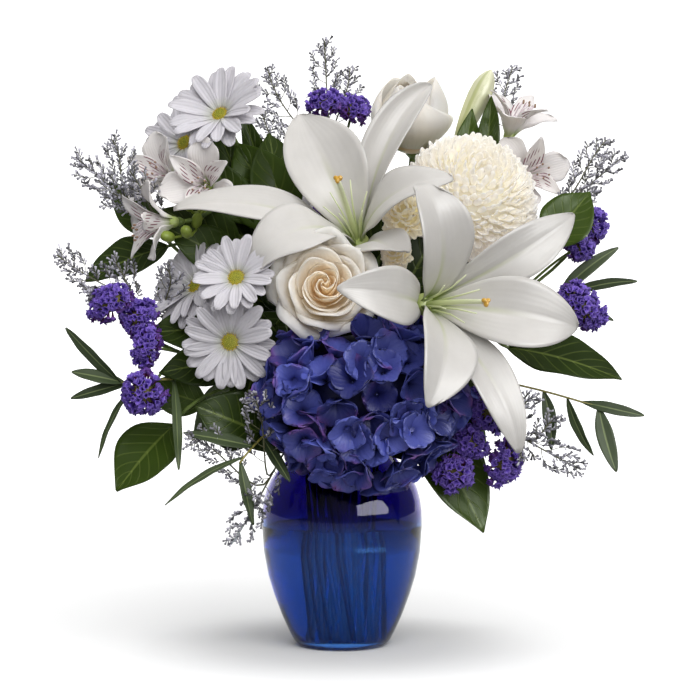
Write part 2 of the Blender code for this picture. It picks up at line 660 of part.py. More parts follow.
# Statice: a green stem whose side shoots end in combs of small papery cups
# Each head is (point, the way its cups face, half length, half width, the way its length runs)
STATICE_SPIKE = 0.42
STATICE_SHOOT = 0.0013
STATICE_FORK = 0.62
STATICE_MORE = 0.003
STATICE = {
    "statice_top": [
        ((-0.013, 0.024, 0.408), (-0.1, -0.35, 0.9), 0.012, 0.008, (1, 0, 0.1)),
        ((0.008, 0.030, 0.404), (0.25, -0.3, 0.9), 0.010, 0.008, (1, 0, -0.1)),
    ],
    "statice_left": [
        ((-0.166, -0.050, 0.254), (-0.45, -0.5, 0.75), 0.017, 0.009, (0.85, 0, 0.5)),
        ((-0.146, -0.046, 0.244), (0.0, -0.8, 0.6), 0.012, 0.009, (0.3, 0, 1)),
        ((-0.139, -0.058, 0.222), (-0.75, -0.65, 0.1), 0.017, 0.007, (0.45, 0, 1)),
        ((-0.141, -0.068, 0.189), (-0.4, -0.8, -0.4), 0.012, 0.012, (0.6, 0, -0.8)),
    ],
    "statice_right": [
        ((0.186, 0.010, 0.314), (0.4, -0.55, 0.75), 0.013, 0.011, (0.5, 0, -0.8)),
        ((0.178, 0.004, 0.297), (0.6, -0.7, 0.3), 0.009, 0.007, (1, 0, 0)),
        ((0.178, -0.012, 0.252), (0.45, -0.85, 0.2), 0.025, 0.010, (0.75, 0, -0.6)),
    ],
    "statice_low_right": [
        ((0.106, -0.058, 0.177), (0.1, -0.95, 0.2), 0.019, 0.010, (0.6, 0, -0.75)),
        ((0.092, -0.056, 0.153), (-0.1, -0.95, 0.0), 0.011, 0.008, (0.5, 0, -0.8)),
        ((0.081, -0.060, 0.132), (0.0, -0.9, -0.4), 0.011, 0.009, (1, 0, 0.1)),
        ((0.117, -0.052, 0.140), (0.75, -0.6, -0.3), 0.017, 0.009, (0.4, 0, 0.9)),
    ],
    "statice_back": [
        ((-0.010, 0.112, 0.332), (-0.1, 0.7, 0.7), 0.014, 0.010, (1, 0, 0.1)),
        ((0.016, 0.112, 0.318), (0.3, 0.8, 0.5), 0.012, 0.009, (1, 0, -0.2)),
    ],
}


def statice_head(point, facing, half_length, half_width, along):
    """A comb of cups: a small ellipsoid, each of whose faces stands out as a papery point."""
    facing, along = Vector(facing).normalized(), Vector(along)
    along = (along - facing * along.dot(facing)).normalized()
    frame = Matrix.Translation(point) @ Matrix((along, facing.cross(along), facing)).transposed().to_4x4()
    bm = bmesh.new()
    bmesh.ops.create_uvsphere(bm, u_segments=6, v_segments=3, radius=0.78)
    bmesh.ops.poke(bm, faces=bm.faces[:], offset=STATICE_SPIKE)
    sizes = (half_length + STATICE_MORE, half_width + STATICE_MORE, half_width, 1.0)
    shape = frame @ Matrix.Diagonal(sizes)
    bmesh.ops.transform(bm, matrix=shape, verts=bm.verts[:])
    bmesh.ops.recalc_face_normals(bm, faces=bm.faces[:])
    return loose(bm)


# Limonium: wiry stems with side shoots of tiny grey cups
# Each is (the tip of the stem, its side shoots as (share along the stem that they leave at, tip))
LIMONIUM = {
    "limonium_top": ((-0.014, 0.058, 0.462), [
        (0.62, (-0.058, 0.046, 0.438)), (0.72, (0.006, 0.052, 0.440)), (0.5, (-0.062, 0.040, 0.402))]),
    "limonium_left_top": ((-0.196, -0.024, 0.362), [
        (0.82, (-0.170, -0.022, 0.376)), (0.76, (-0.178, -0.034, 0.344)), (0.7, (-0.154, -0.042, 0.350))]),
    "limonium_left": ((-0.204, -0.058, 0.288), [
        (0.8, (-0.186, -0.054, 0.262)), (0.7, (-0.168, -0.036, 0.286)), (0.6, (-0.128, -0.040, 0.280))]),
    "limonium_low_left": ((-0.077, -0.086, 0.084), [
        (0.62, (-0.064, -0.096, 0.189)), (0.66, (-0.108, -0.086, 0.158)), (0.78, (-0.060, -0.092, 0.118))]),
    "limonium_right_top": ((0.216, 0.024, 0.369), [
        (0.82, (0.201, 0.020, 0.380)), (0.74, (0.196, 0.034, 0.344)), (0.62, (0.136, 0.086, 0.446))]),
    "limonium_low_right": ((0.172, -0.052, 0.134), [
        (0.72, (0.130, -0.064, 0.143)), (0.74, (0.156, -0.056, 0.171)), (0.62, (0.139, -0.066, 0.187))]),
}
LIMONIUM_WIRE = 0.0010
# The shoots fan out from this point, and each cup has these radii and this height
LIMONIUM_FAN = Vector((0, 0, 0.16))
LIMONIUM_CUP = (0.0004, 0.0025, 0.0066)
LIMONIUM_PITCH = 0.0115
LIMONIUM_REACH = 0.030


def cups_along(path, reach):
    """Small cups on alternate sides of the last stretch of a shoot."""
    pieces = []
    walked, count = 0.0, 0
    backwards = path[::-1]
    for start, end in zip(backwards, backwards[1:]):
        step = (end - start).length
        while walked + 1e-9 < step and count * LIMONIUM_PITCH < reach:
            spot = start.lerp(end, walked / step)
            growth = (start - end).normalized()
            side = growth.cross(Vector((0.2, 1, 0.3))).normalized() * (1 if count % 2 else -1)
            turn = placed(spot, growth * 0.8 + (side * 0.6 if count else Vector()), count * 45)
            low, radius, height = LIMONIUM_CUP
            pieces.append(cone(turn, low, radius, -0.4 * LIMONIUM_WIRE, height, 3))
            walked += LIMONIUM_PITCH
            count += 1
        walked -= step
        if count * LIMONIUM_PITCH >= reach:
            break
    return pieces


# Broad salal leaves, each (base, tip, the way its upper side faces, width)
TWIG = 0.0015
TWIG_FORK = 0.6
LEAF_SINK = 0.0015
SALAL = {
    "salal_left_top": [
        ((-0.136, 0.020, 0.306), (-0.178, 0.028, 0.348), (-0.5, -0.8, 0.3), 0.030),
        ((-0.130, -0.002, 0.298), (-0.189, -0.022, 0.270), (0.0, -0.75, 0.6), 0.036),
        ((-0.048, 0.012, 0.318), (-0.056, 0.018, 0.384), (0.4, -0.9, 0.1), 0.046),
    ],
    "salal_low_left": [
        ((-0.122, -0.042, 0.166), (-0.160, -0.062, 0.119), (-0.3, -0.9, 0.3), 0.046),
        ((-0.098, -0.030, 0.180), (-0.144, -0.026, 0.194), (-0.2, -0.9, 0.1), 0.030),
        ((-0.058, -0.050, 0.160), (-0.104, -0.068, 0.180), (0.1, -0.95, 0.2), 0.044),
    ],
    "salal_right": [
        ((0.152, -0.010, 0.296), (0.186, 0.002, 0.338), (0.1, -0.85, 0.5), 0.040),
        ((0.122, -0.020, 0.222), (0.201, -0.052, 0.198), (0.0, -0.75, 0.65), 0.040),
    ],
    "salal_low_right": [
        ((0.060, -0.018, 0.166), (0.102, -0.044, 0.088), (0.35, -0.9, 0.2), 0.050),
        ((0.086, -0.014, 0.206), (0.127, -0.026, 0.158), (0.2, -0.9, 0.3), 0.044),
    ],
    "salal_back_left": [
        ((-0.070, 0.066, 0.240), (-0.150, 0.090, 0.270), (-0.2, 0.9, 0.4), 0.050),
        ((-0.062, 0.060, 0.185), (-0.120, 0.100, 0.150), (-0.2, 0.9, 0.4), 0.050),
        ((-0.030, 0.124, 0.334), (-0.048, 0.142, 0.392), (-0.1, 0.9, 0.3), 0.046),
    ],
    "salal_back_right": [
        ((0.070, 0.062, 0.236), (0.146, 0.082, 0.262), (0.2, 0.9, 0.4), 0.050),
        ((0.060, 0.066, 0.180), (0.116, 0.106, 0.142), (0.2, 0.9, 0.4), 0.050),
    ],
}

# Willow-leaved eucalyptus: the tip of the twig, then its leaves as (share along it, tip, facing, width)
WILLOW_TWIG = 0.0014
WILLOW_FAN = Vector((0, 0, 0.21))
EUCALYPTUS = {
    "eucalyptus_left": ((-0.160, -0.056, 0.196), [
        (0.99, (-0.192, -0.068, 0.238), (-0.6, -0.8, 0), 0.010),
        (0.97, (-0.192, -0.066, 0.201), (0, -0.8, 0.6), 0.011),
        (0.94, (-0.192, -0.060, 0.182), (0, -0.8, 0.6), 0.009),
        (0.91, (-0.177, -0.062, 0.145), (-0.8, -0.6, 0), 0.007),
        (0.75, (-0.122, -0.084, 0.139), (0.5, -0.8, 0), 0.008),
    ]),
    "eucalyptus_low_left": ((-0.072, -0.078, 0.140), [
        (0.99, (-0.069, -0.082, 0.097), (0.6, -0.8, 0), 0.010),
        (0.95, (-0.125, -0.084, 0.115), (0, -0.6, 0.8), 0.007),
        (0.86, (-0.110, -0.086, 0.157), (0, -0.8, 0.6), 0.013),
        (0.78, (-0.041, -0.086, 0.127), (0.4, -0.9, 0.2), 0.009),
    ]),
    "eucalyptus_right": ((0.188, -0.046, 0.178), [
        (0.99, (0.192, -0.052, 0.132), (0, -1, 0), 0.013),
        (0.93, (0.217, -0.048, 0.169), (0, -0.9, 0.4), 0.009),
        (0.88, (0.178, -0.052, 0.143), (-0.6, -0.8, 0), 0.008),
        (0.80, (0.158, -0.046, 0.150), (0, -1, 0), 0.010),
    ]),
    "eucalyptus_far_right": ((0.176, 0.014, 0.262), [
        (0.97, (0.220, 0.002, 0.276), (0, -0.8, 0.6), 0.009),
        (0.94, (0.203, 0.012, 0.302), (-0.4, -0.9, 0), 0.011),
        (0.90, (0.206, 0.022, 0.246), (0, -0.8, 0.6), 0.009),
    ]),
    "eucalyptus_back": ((0.010, 0.150, 0.250), [
        (0.99, (0.020, 0.175, 0.280), (0, 0.6, 0.8), 0.011),
        (0.94, (-0.040, 0.160, 0.280), (0, 0.8, 0.6), 0.011),
        (0.90, (0.055, 0.155, 0.240), (0, 0.8, 0.6), 0.011),
        (0.84, (-0.045, 0.150, 0.225), (0, 0.8, 0.6), 0.011),
    ]),
}

BLOOMS = {name: (facts["base"], facts["facing"]) for group in (LILIES, ROSES, SMALL_BLOOMS)
          for name, facts in group.items()}
HEAD_DEPTH = HYDRANGEA["core"][2] - HEAD_CENTRE
BLOOMS["hydrangea_head"] = (under(HYDRANGEA["base"], HYDRANGEA["facing"], HEAD_DEPTH), HYDRANGEA["facing"])
BLOOMS["lily_bud"] = (LILY_BUD["base"], LILY_BUD["facing"])
BLOOMS["mum_bloom"] = (MUM["base"], MUM["facing"])
for group in (DAISIES, ALSTROEMERIAS):
    BLOOMS.update({name: facts[:2] for name, facts in group.items()})

# Each flower stem is (radius, cup radius, cup height, fork, its flowers)
FLOWER_STEMS = {
    "lily_stem": (0.0032, 0.0050, 0.006, 0.60, ["lily_left", "lily_right", "lily_bud"]),
    "rose_front_stem": (0.0026, 0.0065, 0.007, 0.5, ["rose_front"]),
    "rose_back_stem": (0.0026, 0.0065, 0.007, 0.5, ["rose_back"]),
    "hydrangea_stem": (0.0032, 0.0060, 0.006, 0.5, ["hydrangea_head"]),
    "mum_stem": (0.0028, 0.0110, 0.007, 0.5, ["mum_bloom"]),
    "cream_bloom_stem": (0.0022, 0.0045, 0.006, 0.7, ["cream_bloom_upper", "cream_bloom_lower"]),
    "daisy_stem_top": (0.0020, 0.0065, 0.005, 0.5, ["daisy_top", "daisy_top_left"]),
    "daisy_stem_front": (0.0020, 0.0065, 0.005, 0.65, ["daisy_middle", "daisy_low", "daisy_side"]),
    "daisy_stem_back": (0.0020, 0.0065, 0.005, 0.55, ["daisy_back_left", "daisy_back_right"]),
    "alstroemeria_stem_left": (0.0022, 0.0035, 0.005, 0.80, [
        "alstroemeria_left_front", "alstroemeria_left_back", "alstroemeria_left_low"]),
    "alstroemeria_stem_right": (0.0022, 0.0035, 0.005, 0.80, [
        "alstroemeria_right_top", "alstroemeria_right"]),
}


def middle(points):
    """The middle of some points, seen from above."""
    return sum((Vector(point[:2]) for point in points), Vector((0, 0))) / len(points)


def note_stems():
    for name, (radius, cup_radius, cup_height, fork, blooms) in FLOWER_STEMS.items():
        ends = [(*flower_end(*BLOOMS[bloom], radius if i == 0 else radius * 0.75, cup_height), fork)
                for i, bloom in enumerate(blooms)]
        STEMS[name] = {"radius": radius, "ends": ends, "lean": middle([BLOOMS[b][0] for b in blooms]),
                       "resolution": 1 if radius > THICK_STEM else 0, "steps": 4}
    for name, heads in STATICE.items():
        ends = [(under(point, facing, width / 2), facing, STATICE_SHOOT, STATICE_FORK)
                for point, facing, _, width, _ in heads]
        STEMS[name] = {"radius": FILLER_STEM, "ends": ends, "lean": middle([head[0] for head in heads]),
                       "resolution": 0, "steps": 3}
    for name, (tip, shoots) in LIMONIUM.items():
        ends = [(point, Vector(point) - LIMONIUM_FAN, LIMONIUM_WIRE, share)
                for share, point in [(0, tip)] + shoots]
        STEMS[name] = {"radius": LIMONIUM_WIRE * 1.3, "ends": ends, "lean": Vector(tip[:2]),
                       "resolution": 0, "steps": 3}
    for name, leaves in SALAL.items():
        ends = []
        for base, tip, _, _ in leaves:
            along = (Vector(tip) - Vector(base)).normalized()
            ends.append((Vector(base) + along * LEAF_SINK, along, TWIG, TWIG_FORK))
        STEMS[name] = {"radius": FILLER_STEM, "ends": ends, "lean": middle([one[0] for one in leaves]),
                       "resolution": 0, "steps": 3}
    for name, (tip, _) in EUCALYPTUS.items():
        STEMS[name] = {"radius": WILLOW_TWIG, "ends": [(tip, Vector(tip) - WILLOW_FAN, WILLOW_TWIG, 0)],
                       "lean": Vector(tip[:2]), "resolution": 0, "steps": 6}


def build_blooms():
    for name, facts in LILIES.items():
        lily(name, **facts)
    lily_bud(**LILY_BUD)
    for name, facts in ROSES.items():
        rose(name, **facts)
    hydrangea(**HYDRANGEA)
    crowded("mum_bloom", **MUM)
    for name, facts in SMALL_BLOOMS.items():
        crowded(name, **facts)
    for name, facts in DAISIES.items():
        daisy(name, *facts)
    for name, facts in ALSTROEMERIAS.items():
        alstroemeria(name, *facts)


def grown(name, paths):
    """Everything that grows as one piece with this stem."""
    facts = STEMS[name]
    pieces = [tube(paths[0], facts["radius"], facts["resolution"])]
    pieces += [tube(path, end[2], 0) for path, end in zip(paths[1:], facts["ends"][1:])]
    if name in FLOWER_STEMS:
        _, cup_radius, cup_height, _, blooms = FLOWER_STEMS[name]
        pieces += [cup(*BLOOMS[bloom], cup_radius, cup_height) for bloom in blooms]
    elif name in STATICE:
        pieces += [statice_head(*head) for head in STATICE[name]]
    elif name in LIMONIUM:
        for path in paths:
            pieces += cups_along(path, LIMONIUM_REACH)
    elif name in SALAL:
        pieces += [leaf(*one, steps=3) for one in SALAL[name]]
    elif name in EUCALYPTUS:
        for share, tip, facing, width in EUCALYPTUS[name][1]:
            base = along_path(paths[0][1:], share)
            pieces.append(leaf(base, tip, facing, width, arch=12, steps=2, lanes=1, dish=0, root=0.12))
    return pieces


def stem_material(name):
    groups = [
        (STATICE, PURPLE_STATICE), (LIMONIUM, GREY_LIMONIUM), (SALAL, DARK_LEAF), (EUCALYPTUS, GREY_LEAF)]
    return next((material for group, material in groups if name in group), GREEN_STEM)


def surface(mesh):
    """A mesh's surface, to find what crosses it."""
    corners = [vert.co for vert in mesh.vertices]
    return BVHTree.FromPolygons(corners, [face.vertices for face in mesh.polygons])


def build_stems():
    """Lay each stem with the least bow that keeps it clear of what is there already."""
    steps = [step * BOW_STEP for step in range(-BOW_MOST, BOW_MOST + 1)]
    bows = sorted(itertools.product(steps, repeat=3), key=lambda bow: Vector(bow).length)
    laid = [surface(evaluated_mesh(obj)) for obj in arrangement.objects]
    places = neck_places()
    for name in STEMS:
        best = None
        for bow in bows:
            pieces = grown(name, stem_paths(name, places[name], bow))
            crossings = sum(len(surface(piece.data).overlap(other)) for piece in pieces for other in laid)
            if best is None or crossings < best[0]:
                best = (crossings, bow)
            for piece in pieces:
                bpy.data.objects.remove(piece, do_unlink=True)
            if not crossings:
                break
        stem_hole(name, places[name])
        node = fuse(name, grown(name, stem_paths(name, places[name], best[1])), stem_material(name))
        laid.append(surface(node.data))


build_vase()
build_blooms()
note_stems()
build_stems()
build_water()
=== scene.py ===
"""A blue glass vase of cut lilies, roses, hydrangea, daisies and filler flowers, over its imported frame.

Metres, +Z up, with the origin at the centre of the vase's flat base and -Y the front of the bouquet.
"""

import math
import random

import bmesh
import bpy
from mathutils import Matrix, Vector


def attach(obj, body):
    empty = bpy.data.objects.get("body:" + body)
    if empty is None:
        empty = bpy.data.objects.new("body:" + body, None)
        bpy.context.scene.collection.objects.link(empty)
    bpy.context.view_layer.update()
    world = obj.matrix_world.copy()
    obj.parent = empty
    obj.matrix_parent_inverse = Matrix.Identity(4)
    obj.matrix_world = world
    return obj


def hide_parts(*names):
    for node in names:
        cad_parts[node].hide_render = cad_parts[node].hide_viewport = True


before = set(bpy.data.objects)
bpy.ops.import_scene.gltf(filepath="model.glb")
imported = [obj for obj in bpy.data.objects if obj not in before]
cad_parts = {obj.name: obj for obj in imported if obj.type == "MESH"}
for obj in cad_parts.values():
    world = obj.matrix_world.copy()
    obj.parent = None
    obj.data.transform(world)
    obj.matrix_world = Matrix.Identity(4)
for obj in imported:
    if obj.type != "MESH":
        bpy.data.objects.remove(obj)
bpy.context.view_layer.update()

# The studio. The bouquet stands on white paper, and the camera looks level at its middle. Wide soft lamps
# hang over it, in front on the right and, weaker, behind it, and the room is white. The paper throws no
# light up at the flowers, as if it were black beyond the picture, and carries a faint painted glow away from
# the vase, which paints the vase's shadow close round it.
CAMERA_PLACE = (0.006, -1.3, 0.220)
CAMERA_LENS = 89.14
CAMERA_SENSOR = 36.0
ROOM_LIGHT = 0.28
# The lamps are so far off that they light the paper evenly: (name, the way the light goes, how wide the lamp
# looks in degrees, strength)
FAR_LAMPS = [
    ("lamp_over", (-0.12, 0.26, -0.95), 80, 1.78),
    ("lamp_front", (-0.24, 0.80, -0.46), 60, 1.78),
    ("lamp_back", (0.30, -0.75, -0.60), 90, 0.40),
]
# A lamp like a window on the right shows only in the glass and in what shines
WINDOW_PLACE = (0.98, -0.95, 0.55)
WINDOW_TARGET = (0.0, 0.0, 0.20)
WINDOW_WIDTH = 1.25
WINDOW_HEIGHT = 0.70
WINDOW_POWER = 44.0
# The paper lies a hair under the vase, and far behind it curves up into a wall
SWEEP_WIDTH = 9.0
SWEEP_FRONT = -3.0
SWEEP_BACK = 3.4
SWEEP_LEVEL = -0.0004
SWEEP_WALL = 2.0
COVE_STEP = 0.16


def put(name, data, place=Matrix()):
    """A new object in the scene."""
    made = bpy.data.objects.new(name, data)
    made.matrix_world = place
    bpy.context.scene.collection.objects.link(made)
    return made


def aimed(place, target):
    """A turn and place that look from place to target."""
    way = Vector(target) - Vector(place)
    return Matrix.Translation(place) @ way.to_track_quat("-Z", "Y").to_matrix().to_4x4()


camera_data = bpy.data.cameras.new("camera")
camera_data.sensor_width = CAMERA_SENSOR
camera_data.lens = CAMERA_LENS
camera_data.clip_start = 0.01
camera = put("camera", camera_data, aimed(CAMERA_PLACE, (CAMERA_PLACE[0], 0.0, CAMERA_PLACE[2])))
bpy.context.scene.camera = camera
for name, way, angle, strength in FAR_LAMPS:
    lamp_data = bpy.data.lights.new(name, "SUN")
    lamp_data.angle = math.radians(angle)
    lamp_data.energy = strength
    put(name, lamp_data, aimed((0, 0, 0), way)).visible_glossy = False
window_data = bpy.data.lights.new("window", "AREA")
window_data.shape = "RECTANGLE"
window_data.size = WINDOW_WIDTH
window_data.size_y = WINDOW_HEIGHT
window_data.energy = WINDOW_POWER
put("window", window_data, aimed(WINDOW_PLACE, WINDOW_TARGET)).visible_diffuse = False
world = bpy.data.worlds.new("white_room")
world.use_nodes = True
room = next(node for node in world.node_tree.nodes if node.type == "BACKGROUND")
room.inputs["Color"].default_value = (1.0, 1.0, 1.0, 1.0)
room.inputs["Strength"].default_value = ROOM_LIGHT
bpy.context.scene.world = world
bpy.context.scene.view_settings.view_transform = "Standard"


class Wire:
    """A value in a finish's node tree. Sums on it add the Math nodes that work them out."""

    def __init__(self, finish, socket):
        self.finish = finish
        self.socket = socket

    def math(self, operation, first, second=0.0):
        return self.finish.node("ShaderNodeMath", {"operation": operation}, {0: first, 1: second})

    def __add__(self, other):
        return self.math("ADD", self, other)

    def __radd__(self, other):
        return self.math("ADD", other, self)

    def __sub__(self, other):
        return self.math("SUBTRACT", self, other)

    def __rsub__(self, other):
        return self.math("SUBTRACT", other, self)

    def __mul__(self, other):
        return self.math("MULTIPLY", self, other)

    def __rmul__(self, other):
        return self.math("MULTIPLY", other, self)

    def __pow__(self, other):
        return self.math("POWER", self, other)

    def __abs__(self):
        return self.math("ABSOLUTE", self)

    def sine(self):
        return self.math("SINE", self)

    def rise(self, low, high):
        """0 where this is at low and 1 at high, easing between them. The two may be the other way round."""
        share = self.finish.node("ShaderNodeMath", {"operation": "MULTIPLY", "use_clamp": True},
                                 {0: self - low, 1: 1.0 / (high - low)})
        return share * share * (3.0 - 2.0 * share)


class Finish:
    """A procedural finish: one Principled shader and the nodes that feed it."""

    def __init__(self, name, **values):
        self.material = bpy.data.materials.new(name)
        self.material.use_nodes = True
        self.tree = self.material.node_tree
        self.shader = self.tree.nodes["Principled BSDF"]
        self.set(**values)

    def set(self, **values):
        """Sets sockets that are the same all over. An underscore stands for a space in the socket's name."""
        for socket, value in values.items():
            self.shader.inputs[socket.replace("_", " ")].default_value = value

    def node(self, kind, settings, feeds, out=0):
        made = self.tree.nodes.new(kind)
        for key, value in settings.items():
            setattr(made, key, value)
        for key, value in feeds.items():
            if isinstance(value, Wire):
                self.tree.links.new(value.socket, made.inputs[key])
            else:
                made.inputs[key].default_value = value
        return Wire(self, made.outputs[out])

    def mark(self, name):
        """The piece's own attribute of that name."""
        return self.node("ShaderNodeAttribute", {"attribute_name": name}, {}, "Fac")

    def place(self):
        return self.node("ShaderNodeTexCoord", {}, {}, "Object")

    def axis(self, letter):
        """How far along X, Y or Z the point lies."""
        return self.node("ShaderNodeSeparateXYZ", {}, {0: self.place()}, letter)

    def cloud(self, scale, detail=3.0, stretch=(1.0, 1.0, 1.0)):
        """Noise in the piece's own space, from 0 to 1."""
        spot = self.node("ShaderNodeMapping", {}, {"Vector": self.place(), "Scale": stretch})
        return self.node("ShaderNodeTexNoise", {}, {"Vector": spot, "Scale": scale, "Detail": detail}, "Fac")

    def mix(self, share, first, second):
        return self.node("ShaderNodeMix", {"data_type": "RGBA"}, {0: share, 6: first, 7: second}, 2)

    def feed(self, socket, value):
        self.tree.links.new(value.socket, self.shader.inputs[socket])

    def colour(self, share, first, second):
        """The finish's colour: the first, and the second where share is 1."""
        self.feed("Base Color", self.mix(share, first, second))

    def lets_light_through(self, weight, depth):
        """Some of the light wanders this far inside, as in a petal."""
        self.set(Subsurface_Weight=weight, Subsurface_Scale=depth, Subsurface_Radius=(1.0, 0.96, 0.86))

    def glows_within(self, share, glow):
        """A painted glow where share is 1, standing in for the light that bounces on and on between crowded
        petals, which a render stops counting too soon.
        """
        self.set(Emission_Strength=1.0)
        self.feed("Emission Color", self.mix(share, grey(0.0), (*glow, 1.0)))

    def bump(self, height, distance, strength=1.0):
        self.feed("Normal", self.node(
            "ShaderNodeBump", {}, {"Height": height, "Distance": distance, "Strength": strength}, "Normal"))


def grey(value):
    return (value, value, value, 1.0)


def tone(red, green, blue):
    """A colour as a screen shows it, 0 to 255, made linear."""
    shares = [part / 255 for part in (red, green, blue)]
    return (*[s / 12.92 if s <= 0.04045 else ((s + 0.055) / 1.055) ** 2.4 for s in shares], 1.0)


def white_paper():
    """Grey-white paper with a painted glow of its own: none round the vase and more further off, which paints
    the vase's shadow close round it, and brighter far behind.
    """
    finish = Finish("white_sweep", Roughness=0.9, Specular_IOR_Level=0.0, Emission_Strength=1.0)
    finish.colour(finish.cloud(30.0), grey(0.80), grey(0.82))
    x, y = finish.axis("X"), finish.axis("Y")
    # Painted light: the paper's glow round the vase, nil close to it, which leaves a painted shadow there
    near = finish.mix(((x * x + y * y) ** 0.5).rise(0.070, 0.175), grey(0.0), grey(0.23))
    finish.feed("Emission Color", finish.mix(y.rise(0.4, 2.5), near, grey(0.60)))
    return finish


sweep_bm = bmesh.new()
front = [sweep_bm.verts.new((side * SWEEP_WIDTH / 2, SWEEP_FRONT, SWEEP_LEVEL)) for side in (-1, 1)]
line = [sweep_bm.edges.new(front)]
slopes = [math.radians(slope) for slope in range(5, 90, 10)]
cove = [(0, math.cos(slope) * COVE_STEP, math.sin(slope) * COVE_STEP) for slope in slopes]
for step in [(0, SWEEP_BACK - SWEEP_FRONT, 0)] + cove + [(0, 0, SWEEP_WALL)]:
    made = bmesh.ops.extrude_edge_only(sweep_bm, edges=line)["geom"]
    new_verts = [part for part in made if isinstance(part, bmesh.types.BMVert)]
    bmesh.ops.translate(sweep_bm, verts=new_verts, vec=step)
    line = [part for part in made if isinstance(part, bmesh.types.BMEdge)
            and all(vert in made for vert in part.verts)]
bmesh.ops.recalc_face_normals(sweep_bm, faces=sweep_bm.faces[:])
sweep_mesh = bpy.data.meshes.new("paper_sweep")
sweep_bm.to_mesh(sweep_mesh)
sweep_bm.free()
sweep_mesh.shade_smooth()
sweep_mesh.materials.append(white_paper().material)
sweep = put("paper_sweep", sweep_mesh)
sweep.visible_diffuse = False


# The vase. A ginger-jar shape blown in cobalt glass about 3 mm thick, with a heavy base, a full shoulder, a
# narrow neck and a small rounded rim. It is turned in one piece. Its colour is painted darker where no water
# backs it, and darker still in the base, as painted shade.
GLASS_WALL = 0.003
VASE_FLOOR = 0.006
WATER_LEVEL = 0.089
VASE_TURNS = 96
RIM_ROUND = 0.0022
# The inside of the base is flat in the middle, and turns up a little further out to meet the wall
FLOOR_FLAT = 0.018
FLOOR_TURN = 0.0285
FLOOR_TURN_RISE = 0.0012
WALL_START = VASE_FLOOR + 0.003
# The glass's colour where water backs it; above the water and in the base it is painted darker, as painted
# shade
GLASS_BEFORE_WATER = (0.044, 0.150, 0.385, 1.0)
GLASS_SHADED_ABOVE_WATER = (0.040, 0.024, 0.220, 1.0)
GLASS_SHADED_FOOT = (0.010, 0.050, 0.240, 1.0)
# The outer wall's height and radius, from the base up to the rim
VASE_WALL = [
    (0.0000, 0.0300), (0.0012, 0.0336), (0.0040, 0.0365), (0.0110, 0.0400), (0.0240, 0.0458), (0.0380, 0.0510),
    (0.0520, 0.0552), (0.0700, 0.0586), (0.0890, 0.0600), (0.1000, 0.0598), (0.1080, 0.0588), (0.1160, 0.0567),
    (0.1230, 0.0535), (0.1300, 0.0485), (0.1370, 0.0425), (0.1410, 0.0393), (0.1450, 0.0377), (0.1490, 0.0377),
    (0.1530, 0.0390),
]


def inner_wall(inset, low, high):
    """(radius, height) up the inside, inset from the outer wall square to its slope."""
    points = []
    for (z0, r0), (height, radius), (z1, r1) in zip(VASE_WALL, VASE_WALL[1:], VASE_WALL[2:]):
        slope = Vector((r1 - r0, z1 - z0)).normalized()
        point = (radius - inset * slope.y, height + inset * slope.x)
        if low < point[1] < high:
            points.append(point)
    return points


def turned(profile):
    """A closed body turned about the vase's axis from an outline that starts and ends on it."""
    bm = bmesh.new()
    verts = [bm.verts.new((radius, 0.0, height)) for radius, height in profile]
    edges = [bm.edges.new(pair) for pair in zip(verts, verts[1:])]
    bmesh.ops.spin(bm, geom=verts + edges, cent=(0, 0, 0), axis=(0, 0, 1), angle=2 * math.pi,
                   steps=VASE_TURNS, use_merge=True)
    bmesh.ops.remove_doubles(bm, verts=bm.verts[:], dist=1e-6)
    bmesh.ops.recalc_face_normals(bm, faces=bm.faces[:])
    return bm


def add_piece(name, bm, finish, nodes=(), thickness=0.0):
    """Makes the piece from its bmesh, smooth shaded, riding on the frame and standing for those nodes."""
    mesh = bpy.data.meshes.new(name)
    bm.to_mesh(mesh)
    bm.free()
    mesh.shade_smooth()
    mesh.materials.append(finish.material)
    piece = put(name, mesh)
    if thickness:
        shell = piece.modifiers.new("thickness", "SOLIDIFY")
        shell.thickness = thickness
        shell.offset = 0.0
    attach(piece, "root")
    if nodes:
        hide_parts(*nodes)


def cobalt_glass():
    finish = Finish("cobalt_glass", Roughness=0.0, IOR=1.25, Transmission_Weight=1.0)
    height = finish.axis("Z")
    # Painted shade: the glass darkens above the water line and again in its base
    above_water = height.rise(WATER_LEVEL - 0.005, WATER_LEVEL + 0.011)
    body = finish.mix(above_water, GLASS_BEFORE_WATER, GLASS_SHADED_ABOVE_WATER)
    finish.colour(height.rise(0.009, 0.001), body, GLASS_SHADED_FOOT)
    finish.bump(finish.cloud(18.0, 1.0), 0.0006, 0.25)
    return finish


rim_height, rim_radius = VASE_WALL[-1]
rim_middle = rim_radius - RIM_ROUND * 0.7
lip = [(rim_middle + RIM_ROUND * math.sin(turn), rim_height + RIM_ROUND * math.cos(turn) * 0.7)
       for turn in (-1.2, -0.6, 0.0, 0.6, 1.2)]
inside = [(0.0, VASE_FLOOR), (FLOOR_FLAT, VASE_FLOOR), (FLOOR_TURN, VASE_FLOOR + FLOOR_TURN_RISE)]
inside += inner_wall(GLASS_WALL, WALL_START, rim_height - 0.001)
outside = [(radius, height) for height, radius in reversed(VASE_WALL[:-1])] + [(0.0, 0.0)]
add_piece("vase_glass", turned(inside + lip + outside), cobalt_glass(), ["vase"])


# The water. Clear, filled to the widest part of the vase, and it holds the stems. It reaches a hair into the
# glass all round, as water wets its wall, so that no film of air shines between the two.
WETTING = 0.0002
# Its surface climbs a little at the glass: (radius, depth under the water line)
MENISCUS = [(0.0, 0.0010), (0.053, 0.0010), (0.0560, 0.0005), (0.0600 - GLASS_WALL + WETTING, 0.0)]


def clear_water():
    finish = Finish("clear_water", Roughness=0.0, IOR=1.33, Transmission_Weight=1.0)
    finish.colour(finish.axis("Z").rise(0.0, 0.09), (0.82, 0.90, 1.0, 1.0), (0.88, 0.94, 1.0, 1.0))
    return finish


